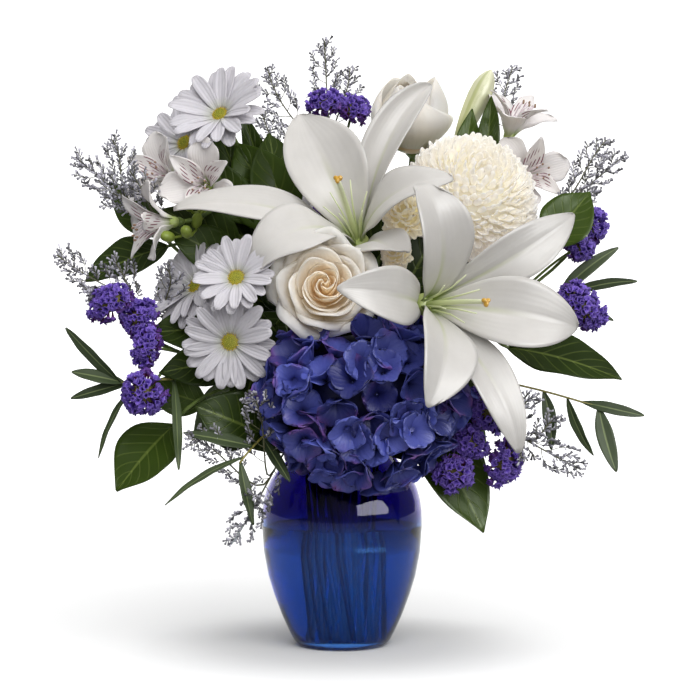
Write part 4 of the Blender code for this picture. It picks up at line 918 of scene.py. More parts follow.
def streaked_white():
    """White, with maroon dashes on the inner petals, which are marked with a tint of 1."""
    finish = Finish("alstroemeria_petal", Roughness=0.45, Specular_IOR_Level=0.3)
    finish.lets_light_through(0.25, 0.001)
    along, across, cloud = finish.mark("along"), finish.mark("across"), finish.cloud(70.0)
    white = finish.mix(cloud, tone(220, 215, 214), tone(234, 230, 227))
    lanes = (across * 21.0).sine().rise(0.35, 0.85)
    dashes = (along * 19.0 + across * 5.0).sine().rise(-0.55, 0.25)
    reach = along.rise(0.28, 0.36) * along.rise(0.82, 0.70) * finish.mark("tint").rise(0.4, 0.6)
    greened = finish.mix(along.rise(0.32, 0.02), white, tone(170, 186, 110))
    finish.colour(lanes * dashes * reach, greened, tone(112, 26, 62))
    finish.bump((across * 40.0).sine() * 0.4 + cloud, 0.0002, 0.5)
    return finish


def stamen_pale():
    finish = Finish("alstroemeria_stamen", Roughness=0.5)
    finish.colour(finish.mark("along").rise(0.7, 0.95), tone(228, 214, 220), tone(150, 120, 96))
    return finish


funnel_finish, stamen_finish = streaked_white(), stamen_pale()
for seed, (name, (base, facing, roll)) in enumerate(ALSTROEMERIAS.items()):
    bm, threads = new_piece(), new_piece()
    flower = placed(base, facing, roll)
    jitter = random.Random(70 + seed)
    for index in range(6):
        root_frame = around(flower, 60 * index + jitter.uniform(-5, 5), 0.002)
        length, (at_root, middle, at_tip), varies, style = FUNNEL_PETALS[index % 2]
        length *= jitter.uniform(0.96, 1.04)
        lean = (at_root, middle, at_tip + jitter.uniform(*varies))
        petal(bm, root_frame, length, lean=lean, phase=jitter.uniform(0, 6), throat=1.6, **style)
    ball(bm, flower, (0.0042, 0.0042, 0.0050), 6, 10, (0, 0, 0.004), along=0.0)
    for index in range(6):
        turn = math.radians(60 * index + 15)
        thread = [on_ring(turn, out, height) - Vector((0, droop, 0)) for out, droop, height in STAMEN]
        rod(threads, [flower @ point for point in thread], 0.00045, sides=5)
        anther = on_ring(turn, 0.0055, 0.0335) - Vector((0, 0.0062, 0))
        ball(threads, flower, (0.0009, 0.0009, 0.0014), 4, 6, anther, along=1.0)
    close_seams(threads)
    add_piece(name + "_petals", bm, funnel_finish, [name], thickness=0.0005)
    add_piece(name + "_stamens", threads, stamen_finish)


# Flower stems. Each is a fresh green stem, pushed through the narrow neck with all the others, so they cross
# there like the sticks of a fan and stand apart in the water. It forks to carry several blooms, with a calyx
# under each, sepals under a rose, and green buds beside the alstroemerias on the left.
FOOT_HEIGHT = 0.0095
NECK_HEIGHT = 0.150
STEM_TWIST = math.radians(50)
FOOT_SPREAD = 0.85
PATH_KNOTS = 18
# Each stem's place in the neck, and how far its middle bows aside, so that no two touch
NECK = {
    "lily_stem": ((0.00363, 0.00303), (0, 0, 0)),
    "rose_front_stem": ((-0.00402, -0.01154), (0, 0, 0)),
    "rose_back_stem": ((0.0099, 0.02102), (-0.007, -0.014, 0.007)),
    "hydrangea_stem": ((0.00203, -0.00542), (0, 0, 0)),
    "mum_stem": ((0.01216, 0.0041), (0, 0, 0)),
    "cream_bloom_stem": ((0.00735, -0.01218), (0.007, 0.007, -0.007)),
    "daisy_stem_top": ((-0.02117, 0.01124), (0, 0, 0)),
    "daisy_stem_front": ((-0.01469, -0.01257), (0, 0, 0)),
    "daisy_stem_back": ((0.00176, 0.01427), (0, 0, 0)),
    "alstroemeria_stem_left": ((-0.02031, -0.00482), (0, 0, 0)),
    "alstroemeria_stem_right": ((0.02199, 0.01701), (0, 0, 0)),
    "statice_top": ((-0.00497, 0.00287), (0, -0.007, 0)),
    "statice_left": ((-0.02171, -0.018), (0, 0, 0)),
    "statice_right": ((0.0282, -0.00041), (0, 0, 0)),
    "statice_low_right": ((0.01595, -0.0123), (0, 0, 0)),
    "statice_back": ((-0.00201, 0.022), (0, 0, 0)),
    "limonium_top": ((-0.00643, 0.01134), (0, 0.007, 0)),
    "limonium_left_top": ((-0.02805, 0.00608), (0, 0.007, 0.007)),
    "limonium_left": ((-0.02859, -0.0025), (-0.014, 0.007, 0)),
    "limonium_low_left": ((-0.01536, -0.0238), (0, 0, 0.007)),
    "limonium_right_top": ((0.02692, 0.00996), (-0.014, 0.014, -0.007)),
    "limonium_low_right": ((0.02335, -0.01669), (0.014, -0.014, 0.007)),
    "salal_left_top": ((-0.01746, 0.00339), (0, 0.007, 0)),
    "salal_low_left": ((-0.01175, -0.00398), (0, -0.007, 0.007)),
    "salal_right": ((0.01976, -0.00459), (0, 0, 0)),
    "salal_low_right": ((0.01116, -0.00444), (0, 0.007, 0)),
    "salal_back_left": ((-0.01187, 0.018), (0, 0, 0)),
    "salal_back_right": ((0.01208, 0.0127), (0, 0, 0)),
    "eucalyptus_left": ((-0.02647, -0.01084), (-0.007, 0, 0)),
    "eucalyptus_low_left": ((-0.00817, -0.01908), (0, 0, 0.007)),
    "eucalyptus_right": ((0.02715, -0.00898), (0, 0, 0.007)),
    "eucalyptus_far_right": ((0.02076, 0.00395), (0, 0, 0.007)),
    "eucalyptus_back": ((0.0038, 0.02835), (0, 0, 0)),
}


def bezier(start, start_way, end, end_way, knots, bow=(0, 0, 0)):
    """Points from start to end, leaving along start_way, arriving along end_way and bowed aside between."""
    start, end, bow = Vector(start), Vector(end), Vector(bow)
    reach = (end - start).length * 0.4
    first = start + Vector(start_way).normalized() * reach
    second = end - Vector(end_way).normalized() * reach
    points = []
    for knot in range(knots + 1):
        t = knot / knots
        s = 1 - t
        between = first * 3 * s * s * t + second * 3 * s * t * t + bow * 4 * s * t
        points.append(start * s**3 + between + end * t**3)
    return points


def along_path(path, share):
    """The point at this share of a path's points."""
    where = share * (len(path) - 1)
    before = min(int(where), len(path) - 2)
    return path[before].lerp(path[before + 1], where - before)


def stem_run(name, ends):
    """The foot of a stem, and the points of its main run and its branches. Each end is (point, way, fork)."""
    place, bow = NECK[name]
    neck = Vector((*place, NECK_HEIGHT))
    foot = Vector((*((Matrix.Rotation(STEM_TWIST, 2) @ Vector(place)) * FOOT_SPREAD), FOOT_HEIGHT))
    main = bezier(neck, neck - foot, ends[0][0], ends[0][1], PATH_KNOTS, bow)
    runs = [main]
    for end, way, fork in ends[1:]:
        start = along_path(main, fork)
        start_way = along_path(main, min(1.0, fork + 0.1)) - start
        runs.append(bezier(start, start_way, end, way, PATH_KNOTS // 2))
    return foot, runs


def forked_stem(bm, foot, runs, trunk, shoot):
    """The stem from its foot along its main run, and its branches. Both are (radius, sides, tip radius)."""
    rod(bm, [foot.lerp(runs[0][0], step / 8) for step in range(8)] + runs[0], *trunk)
    for run in runs[1:]:
        rod(bm, run, *shoot)


def under(base, facing, depth):
    """The point this far behind a flower's base."""
    return Vector(base) - Vector(facing).normalized() * depth


FLOWERS = {
    "lily_bud": LILY_BUD[:2],
    "hydrangea_head": (under(HYDRANGEA[0], HYDRANGEA[1], HYDRANGEA[2][2] - HEAD_CENTRE), HYDRANGEA[1]),
}
for group in (LILIES, ROSES, CROWDS, DAISIES, ALSTROEMERIAS):
    FLOWERS.update({name: facts[:2] for name, facts in group.items()})
# Each is (radius, calyx radius, calyx height, fork, its flowers)
FLOWER_STEMS = {
    "lily_stem": (0.0032, 0.0050, 0.006, 0.60, ["lily_left", "lily_right", "lily_bud"]),
    "rose_front_stem": (0.0026, 0.0065, 0.007, 0.5, ["rose_front"]),
    "rose_back_stem": (0.0026, 0.0065, 0.007, 0.5, ["rose_back"]),
    "hydrangea_stem": (0.0032, 0.0060, 0.006, 0.5, ["hydrangea_head"]),
    "mum_stem": (0.0028, 0.0110, 0.007, 0.5, ["mum_bloom"]),
    "cream_bloom_stem": (0.0022, 0.0045, 0.006, 0.7, ["cream_bloom_upper", "cream_bloom_lower"]),
    "daisy_stem_top": (0.0020, 0.0065, 0.005, 0.5, ["daisy_top", "daisy_top_left"]),
    "daisy_stem_front": (0.0020, 0.0065, 0.005, 0.65, ["daisy_middle", "daisy_low", "daisy_side"]),
    "daisy_stem_back": (0.0020, 0.0065, 0.005, 0.55, ["daisy_back_left", "daisy_back_right"]),
    "alstroemeria_stem_left": (0.0022, 0.0035, 0.005, 0.80, [
        "alstroemeria_left_front", "alstroemeria_left_back", "alstroemeria_left_low"]),
    "alstroemeria_stem_right": (0.0022, 0.0035, 0.005, 0.80, ["alstroemeria_right_top", "alstroemeria_right"]),
}
# Under a rose the calyx opens into sepals: (length, width)
SEPALS = {"rose_front": (0.026, 0.0075), "rose_back": (0.030, 0.0085)}
# Small green buds stand beside the alstroemerias: (base, the way each points)
BUDS = {"alstroemeria_stem_left": [
    ((-0.112, -0.022, 0.324), (-0.2, -0.6, 0.7)), ((-0.124, -0.034, 0.302), (-0.5, -0.7, 0.1)),
    ((-0.112, -0.038, 0.304), (-0.1, -0.8, 0.3)), ((-0.108, -0.020, 0.312), (0.2, -0.6, 0.6))]}
BUD_FORK = 0.88
SEPAL = {"lean": (74, 54, 40), "steps": 10, "lanes": 4, "root": 0.8, "belly": 0.25, "tip": 0.02, "dish": 0.2}


def paints_light_under_water(finish, dry, pale, glow):
    """Under water a stem's colour is painted pale and it gets a painted blue glow, for the light that hangs
    between it and the glass.
    """
    below = finish.axis("Z").rise(0.110, 0.080)
    finish.colour(below, dry, pale)
    finish.glows_within(below, glow)


def stem_green():
    """Mottled green, and yellower on the alstroemerias' buds, which are marked with a tint of 1."""
    finish = Finish("green_stem", Roughness=0.5, Specular_IOR_Level=0.3)
    mottle = finish.cloud(120.0, 4.0, (1, 1, 0.25)).rise(0.3, 0.7)
    green = finish.mix(mottle, tone(64, 84, 30), tone(110, 130, 60))
    green = finish.mix(finish.mark("tint").rise(0.8, 1.0), green, tone(132, 150, 58))
    # Painted light under water: a pale colour and a blue glow
    paints_light_under_water(finish, green, tone(206, 214, 204), (0.035, 0.070, 0.135))
    finish.bump(finish.cloud(500.0, 3.0, (1, 1, 0.12)), 0.0003)
    return finish


def tapered_cup(bm, cup_frame, wide, height, sides=14):
    """The calyx under a flower: round, swelling up to its rim, its top just under the flower's base."""
    stations = [(0.0, 0.0), (0.42, 0.0), (0.60, 0.22), (0.85, 0.55), (1.0, 0.85), (0.9, 1.0), (0.0, 1.0)]

    def place(u, v):
        share, rise = stations[round(u * (len(stations) - 1))]
        return cup_frame @ on_ring(v * math.pi, share * wide, (rise - 1) * height)
    sheet(bm, len(stations) - 1, sides, place)


stem_finish = stem_green()
for name, (radius, cup_radius, cup_height, fork, blooms) in FLOWER_STEMS.items():
    ends = [(under(*FLOWERS[bloom], cup_height * 0.7), FLOWERS[bloom][1], fork) for bloom in blooms]
    foot, runs = stem_run(name, ends)
    bm = new_piece()
    forked_stem(bm, foot, runs, (radius * 0.60, 10, radius), (radius * 0.78, 8, radius * 0.7))
    for base, way in BUDS.get(name, []):
        fork_point = along_path(runs[0], BUD_FORK)
        rod(bm, bezier(fork_point, fork_point - foot, base, way, 8), 0.0011, 6, 0.0010, tint=1.0)
        ball(bm, placed(base, way), (0.0042, 0.0042, 0.0072), 10, 12, (0, 0, 0.0050), tint=1.0)
    for bloom in blooms:
        calyx = placed(*FLOWERS[bloom])
        tapered_cup(bm, calyx, cup_radius, cup_height)
        for index in range(5 if bloom in SEPALS else 0):
            petal(bm, around(calyx, 72 * index + 20, 0.0008), *SEPALS[bloom], start=cup_radius * 0.9, **SEPAL)
    close_seams(bm)
    bmesh.ops.recalc_face_normals(bm, faces=bm.faces[:])
    add_piece(name + "_green", bm, stem_finish, [name])


# Statice. A flat green stem forks into combs of small papery purple cups with a ruffled rim. Each cup stands
# in a calyx that is maroon below and yellow-green at its foot.
# Each head is (point, the way its cups face, half length, half width, the way its length runs)
STATICE = {
    "statice_top": [
        ((-0.013, 0.024, 0.408), (-0.1, -0.35, 0.9), 0.012, 0.008, (1, 0, 0.1)),
        ((0.008, 0.030, 0.404), (0.25, -0.3, 0.9), 0.010, 0.008, (1, 0, -0.1)),
    ],
    "statice_left": [
        ((-0.166, -0.050, 0.254), (-0.45, -0.5, 0.75), 0.017, 0.009, (0.85, 0, 0.5)),
        ((-0.146, -0.046, 0.244), (0.0, -0.8, 0.6), 0.012, 0.009, (0.3, 0, 1)),
        ((-0.139, -0.058, 0.222), (-0.75, -0.65, 0.1), 0.017, 0.007, (0.45, 0, 1)),
        ((-0.141, -0.068, 0.189), (-0.4, -0.8, -0.4), 0.012, 0.012, (0.6, 0, -0.8)),
    ],
    "statice_right": [
        ((0.186, 0.010, 0.314), (0.4, -0.55, 0.75), 0.013, 0.011, (0.5, 0, -0.8)),
        ((0.178, 0.004, 0.297), (0.6, -0.7, 0.3), 0.009, 0.007, (1, 0, 0)),
        ((0.178, -0.012, 0.252), (0.45, -0.85, 0.2), 0.025, 0.010, (0.75, 0, -0.6)),
    ],
    "statice_low_right": [
        ((0.106, -0.058, 0.177), (0.1, -0.95, 0.2), 0.019, 0.010, (0.6, 0, -0.75)),
        ((0.092, -0.056, 0.153), (-0.1, -0.95, 0.0), 0.011, 0.008, (0.5, 0, -0.8)),
        ((0.081, -0.060, 0.132), (0.0, -0.9, -0.4), 0.011, 0.009, (1, 0, 0.1)),
        ((0.117, -0.052, 0.140), (0.75, -0.6, -0.3), 0.017, 0.009, (0.4, 0, 0.9)),
    ],
    "statice_back": [
        ((-0.010, 0.112, 0.332), (-0.1, 0.7, 0.7), 0.014, 0.010, (1, 0, 0.1)),
        ((0.016, 0.112, 0.318), (0.3, 0.8, 0.5), 0.012, 0.009, (1, 0, -0.2)),
    ],
}
STATICE_STEM = 0.00126
STATICE_SHOOT = 0.0013
STATICE_FORK = 0.62
# A cup's half width at its foot, up its side and at its mouth, in shares of its widest
CUP_FLARE = [0.0, 0.16, 0.24, 0.42, 1.0]
# Cups below this height on a head show only their maroon foot
CALYX_LINE = -0.12
CALYX_REACH = 0.34


def statice_purple():
    """Purple and paler at the rim, maroon below and yellow-green at the foot."""
    finish = Finish("statice_cup", Roughness=0.65, Specular_IOR_Level=0.2)
    along = finish.mark("along")
    purple = finish.mix(finish.mark("tint"), tone(68, 42, 150), tone(122, 92, 202))
    rimmed = finish.mix(along.rise(0.80, 1.0) * 0.45, purple, tone(152, 126, 216))
    cup = finish.mix(along.rise(0.45, 0.15), rimmed, tone(96, 30, 66))
    finish.colour(along.rise(0.12, 0.0), cup, tone(138, 142, 62))
    finish.bump((finish.mark("across") * 40.0).sine() * 0.5 + finish.cloud(600.0), 0.0002)
    return finish


def papery_cup(bm, cup_frame, wide, deep, phase, tint, reach):
    """A cup that flares to a ruffled mouth."""

    def place(u, v):
        turn = v * math.pi
        at_mouth = u > 0.9
        ruffle = 1 + (0.30 * math.sin(5 * turn + phase) if at_mouth else 0.0)
        lift = deep * u + (0.0009 * math.sin(4 * turn + phase * 2) if at_mouth else 0.0)
        return cup_frame @ on_ring(turn, wide * CUP_FLARE[round(u * 4)] * ruffle, lift)
    sheet(bm, 4, 9, place, tint, reach)


statice_finish = statice_purple()
for seed, (name, heads) in enumerate(STATICE.items()):
    ends = [(under(point, facing, width / 2), facing, STATICE_FORK) for point, facing, _, width, _ in heads]
    foot, runs = stem_run(name, ends)
    bm, cups = new_piece(), new_piece()
    forked_stem(bm, foot, runs, (STATICE_STEM, 8, STATICE_SHOOT), (STATICE_SHOOT, 6, STATICE_SHOOT * 0.8))
    jitter = random.Random(90 + seed)
    for point, facing, half_length, half_width, run_way in heads:
        way = Vector(facing).normalized()
        head_frame = standing(point, square_to(way, Vector(run_way)), way)
        sizes = (half_length + 0.0015, half_width + 0.0015, half_width)
        ball(cups, head_frame, [size * 0.62 for size in sizes], tint=0.2, along=0.05)
        count = round(60 + 360000 * half_length * half_width)
        lump = jitter.uniform(0, 6)
        for ball_way in spread_over_ball(count, -0.60):
            outward = head_frame.to_3x3() @ ball_way
            bulge = math.sin(5 * ball_way.x + lump) * math.cos(4 * ball_way.y + lump)
            root = head_frame @ Vector([a * b * (0.50 + 0.14 * bulge) for a, b in zip(ball_way, sizes)])
            lean = Vector([jitter.uniform(-0.35, 0.35) for _ in range(3)])
            cup_frame = placed(root, outward + lean, jitter.uniform(0, 360))
            wide = jitter.uniform(0.0019, 0.0031)
            deep = 0.5 * half_width + jitter.uniform(0.0018, 0.0044) + 0.0008 * bulge
            papery_cup(cups, cup_frame, wide, deep, phase=jitter.uniform(0, 6), tint=jitter.random(),
                       reach=1.0 if ball_way.z > CALYX_LINE else CALYX_REACH)
    close_seams(bm)
    close_seams(cups)
    add_piece(name + "_stems", bm, stem_finish)
    add_piece(name + "_cups", cups, statice_finish, [name], thickness=0.0003)


# Limonium. Wiry dark twigs branch again and again into fine sprays, and each is lined on both sides with
# tiny dry grey-lavender spikelets.
# Each is (the tip of the stem, its side shoots as (share along the stem that they leave at, tip))
LIMONIUM = {
    "limonium_top": ((-0.014, 0.058, 0.462), [
        (0.62, (-0.058, 0.046, 0.438)), (0.72, (0.006, 0.052, 0.440)), (0.5, (-0.062, 0.040, 0.402))]),
    "limonium_left_top": ((-0.196, -0.024, 0.362), [
        (0.82, (-0.170, -0.022, 0.376)), (0.76, (-0.178, -0.034, 0.344)), (0.7, (-0.154, -0.042, 0.350))]),
    "limonium_left": ((-0.204, -0.058, 0.288), [
        (0.8, (-0.186, -0.054, 0.262)), (0.7, (-0.168, -0.036, 0.286)), (0.6, (-0.128, -0.040, 0.280))]),
    "limonium_low_left": ((-0.077, -0.086, 0.084), [
        (0.62, (-0.064, -0.096, 0.189)), (0.66, (-0.108, -0.086, 0.158)), (0.78, (-0.060, -0.092, 0.118))]),
    "limonium_right_top": ((0.216, 0.024, 0.369), [
        (0.82, (0.201, 0.020, 0.380)), (0.74, (0.196, 0.034, 0.344)), (0.62, (0.136, 0.086, 0.446))]),
    "limonium_low_right": ((0.172, -0.052, 0.134), [
        (0.72, (0.130, -0.064, 0.143)), (0.74, (0.156, -0.056, 0.171)), (0.62, (0.139, -0.066, 0.187))]),
}
LIMONIUM_WIRE = 0.0013
# The shoots' tips point away from here, just above the neck
LIMONIUM_FAN = Vector((0, 0, 0.16))
SPIKELET_PITCH = 0.0012
# The last stretch of a shoot carries spikelets, and a longer one carries twigs with spikelets of their own
SHOOT_SPIKELETS = 0.030
SHOOT_TWIGS = 0.056
TWIG_SPIKELETS = 0.013
TWIG_GAP = 0.0052


def spikelet_grey():
    finish = Finish("limonium_spikelet", Roughness=0.7, Specular_IOR_Level=0.2)
    dry = finish.mix(finish.mark("tint"), tone(76, 76, 80), tone(206, 204, 216))
    finish.colour(finish.mark("along").rise(0.4, 0.05), dry, tone(84, 82, 62))
    return finish


def wire_brown():
    finish = Finish("limonium_wire", Roughness=0.6)
    brown = finish.mix(finish.cloud(200.0), tone(58, 62, 38), tone(98, 96, 64))
    # Painted light under water: a pale colour and a blue glow
    paints_light_under_water(finish, brown, tone(150, 156, 148), (0.012, 0.030, 0.075))
    finish.bump(finish.cloud(900.0), 0.0001)
    return finish


def spikelets_along(bm, path, reach, jitter):
    """Tiny scales in two combed rows on the last stretch of a twig, thicker towards its tip."""
    walked, count = 0.0, 0
    backwards = path[::-1]
    for start, end in zip(backwards, backwards[1:]):
        step = (end - start).length
        while walked < step and count * SPIKELET_PITCH < reach:
            spot = start.lerp(end, walked / step)
            growth = (start - end).normalized()
            side = growth.orthogonal().normalized()
            side.rotate(Matrix.Rotation((count % 2) * 2.2 + jitter.uniform(-0.9, 0.9), 3, growth))
            turn = placed(spot + side * 0.0004, growth * 0.9 + side * jitter.uniform(0.3, 1.1))
            long = jitter.uniform(0.0024, 0.0040)
            made = bmesh.ops.create_cone(
                bm, cap_ends=True, segments=4, radius1=0.00035, radius2=jitter.uniform(0.0007, 0.0013),
                depth=long, matrix=turn @ Matrix.Translation((0, 0, long / 2)))
            mark_points(bm, made["verts"], 0.5, jitter.random())
            walked += SPIKELET_PITCH
            count += 1
        walked -= step
        if count * SPIKELET_PITCH >= reach:
            break


def twiglets(path, jitter):
    """Fine twigs that leave the last stretch of a shoot on alternate sides, each curving up to its tip."""
    found = []
    length = sum((after - before).length for before, after in zip(path, path[1:]))
    for index in range(int(SHOOT_TWIGS / TWIG_GAP)):
        share = 1 - (index + 0.8) * TWIG_GAP / length
        if share < 0.05:
            break
        start = along_path(path, share)
        growth = (along_path(path, min(1, share + 0.05)) - start).normalized()
        side = growth.cross(Vector((0.15, 1, 0.2))).normalized() * (1 if index % 2 else -1)
        side = (side + Vector((0, jitter.uniform(-0.6, 0.6), 0))).normalized()
        size = (0.005 + 0.013 * min(1.0, (index + 1) / 5)) * jitter.uniform(0.7, 1.15)
        end = start + (growth * 0.80 + side * 0.60).normalized() * size
        found.append(bezier(start, growth * 0.5 + side, end, growth * 1.4 + side * 0.1, 5))
    return found


spikelet_finish, wire_finish = spikelet_grey(), wire_brown()
for seed, (name, (tip, shoots)) in enumerate(LIMONIUM.items()):
    jitter = random.Random(120 + seed)
    ends = [(Vector(point), Vector(point) - LIMONIUM_FAN, share) for share, point in [(0, tip)] + shoots]
    foot, runs = stem_run(name, ends)
    bm, scales = new_piece(), new_piece()
    forked_stem(bm, foot, runs, (LIMONIUM_WIRE, 7, 0.0005), (0.0008, 6, 0.0004))
    for run in runs:
        spikelets_along(scales, run, SHOOT_SPIKELETS, jitter)
        for twig in twiglets(run, jitter):
            rod(bm, twig, 0.00035, 4, 0.00025)
            spikelets_along(scales, twig, TWIG_SPIKELETS, jitter)
    close_seams(bm)
    add_piece(name + "_wire", bm, wire_finish, [name])
    add_piece(name + "_spikelets", scales, spikelet_finish)


# Salal. Broad, leathery dark green leaves on thin twigs, folded a little along a paler midrib, with side
# veins that curve up to a faintly waved edge.
# Each leaf is (base, tip, the way its upper side faces, width)
SALAL = {
    "salal_left_top": [
        ((-0.136, 0.020, 0.306), (-0.178, 0.028, 0.348), (-0.5, -0.8, 0.3), 0.030),
        ((-0.130, -0.002, 0.298), (-0.189, -0.022, 0.270), (0.0, -0.75, 0.6), 0.036),
        ((-0.048, 0.012, 0.318), (-0.056, 0.018, 0.384), (0.4, -0.9, 0.1), 0.046),
    ],
    "salal_low_left": [
        ((-0.122, -0.042, 0.166), (-0.160, -0.062, 0.119), (-0.3, -0.9, 0.3), 0.046),
        ((-0.098, -0.030, 0.180), (-0.144, -0.026, 0.194), (-0.2, -0.9, 0.1), 0.030),
        ((-0.058, -0.050, 0.160), (-0.104, -0.068, 0.180), (0.1, -0.95, 0.2), 0.044),
    ],
    "salal_right": [
        ((0.152, -0.010, 0.296), (0.186, 0.002, 0.338), (0.1, -0.85, 0.5), 0.040),
        ((0.122, -0.020, 0.222), (0.201, -0.052, 0.198), (0.0, -0.75, 0.65), 0.040),
    ],
    "salal_low_right": [
        ((0.060, -0.018, 0.166), (0.102, -0.044, 0.088), (0.35, -0.9, 0.2), 0.050),
        ((0.086, -0.014, 0.206), (0.127, -0.026, 0.158), (0.2, -0.9, 0.3), 0.044),
    ],
    "salal_back_left": [
        ((-0.070, 0.066, 0.240), (-0.150, 0.090, 0.270), (-0.2, 0.9, 0.4), 0.050),
        ((-0.062, 0.060, 0.185), (-0.120, 0.100, 0.150), (-0.2, 0.9, 0.4), 0.050),
        ((-0.030, 0.124, 0.334), (-0.048, 0.142, 0.392), (-0.1, 0.9, 0.3), 0.046),
    ],
    "salal_back_right": [
        ((0.070, 0.062, 0.236), (0.146, 0.082, 0.262), (0.2, 0.9, 0.4), 0.050),
        ((0.060, 0.066, 0.180), (0.116, 0.106, 0.142), (0.2, 0.9, 0.4), 0.050),
    ],
}
LEAF_SINK = 0.0015
SALAL_FORK = 0.6
# An arched leaf is this much longer than the way from its base to its tip
ARCH_STRETCH = 1.02
BROAD_LEAF = {"root": 0.05, "belly": 0.42, "tip": 0.05, "dish": 0.18, "groove": 0.0010}


def leaf(bm, base, end, facing, width, arch=14, steps=18, lanes=12, **shape):
    """A leaf from its base to its end, its upper side towards facing, arched along its length."""
    base, end = Vector(base), Vector(end)
    along = (end - base).normalized()
    leaf_frame = standing(base, along, square_to(along, Vector(facing)))
    petal(bm, leaf_frame, (end - base).length * ARCH_STRETCH, width, (90 - arch, 90, 90 + arch), steps=steps,
          lanes=lanes, **shape)


def leaf_stalk_end(base, tip):
    """Where a leaf's stalk ends, a little inside the leaf, and the way it points."""
    along = (Vector(tip) - Vector(base)).normalized()
    return Vector(base) + along * LEAF_SINK, along


def leaf_green():
    finish = Finish("salal_leaf", Roughness=0.38, Specular_IOR_Level=0.16)
    along, across, cloud = finish.mark("along"), abs(finish.mark("across")), finish.cloud(60.0)
    green = finish.mix(finish.mark("tint") * 0.7 + cloud * 0.3, tone(24, 36, 8), tone(60, 80, 20))
    veins = (along * 46.0 - across * 13.0).sine().rise(0.80, 1.0) * across.rise(1.0, 0.7)
    finish.colour((across.rise(0.07, 0.02) + veins * 0.45) * 0.5, green, tone(112, 128, 58))
    finish.bump(veins * -1.0 + cloud * 0.5, 0.0004, 0.6)
    return finish


salal_finish = leaf_green()
for seed, (name, leaves) in enumerate(SALAL.items()):
    jitter = random.Random(150 + seed)
    foot, runs = stem_run(name, [(*leaf_stalk_end(base, tip), SALAL_FORK) for base, tip, _, _ in leaves])
    bm, twigs = new_piece(), new_piece()
    forked_stem(twigs, foot, runs, (0.0013, 8, 0.0014), (0.0015, 8, 0.0012))
    for base, tip, facing, width in leaves:
        leaf(bm, base, tip, facing, width, tint=jitter.random(), throat=0.95, ruffle=0.0010, waves=2.4,
             phase=jitter.uniform(0, 6), **BROAD_LEAF)
    close_seams(twigs)
    add_piece(name + "_leaves", bm, salal_finish, [name], thickness=0.0005)
    add_piece(name + "_twigs", twigs, stem_finish)


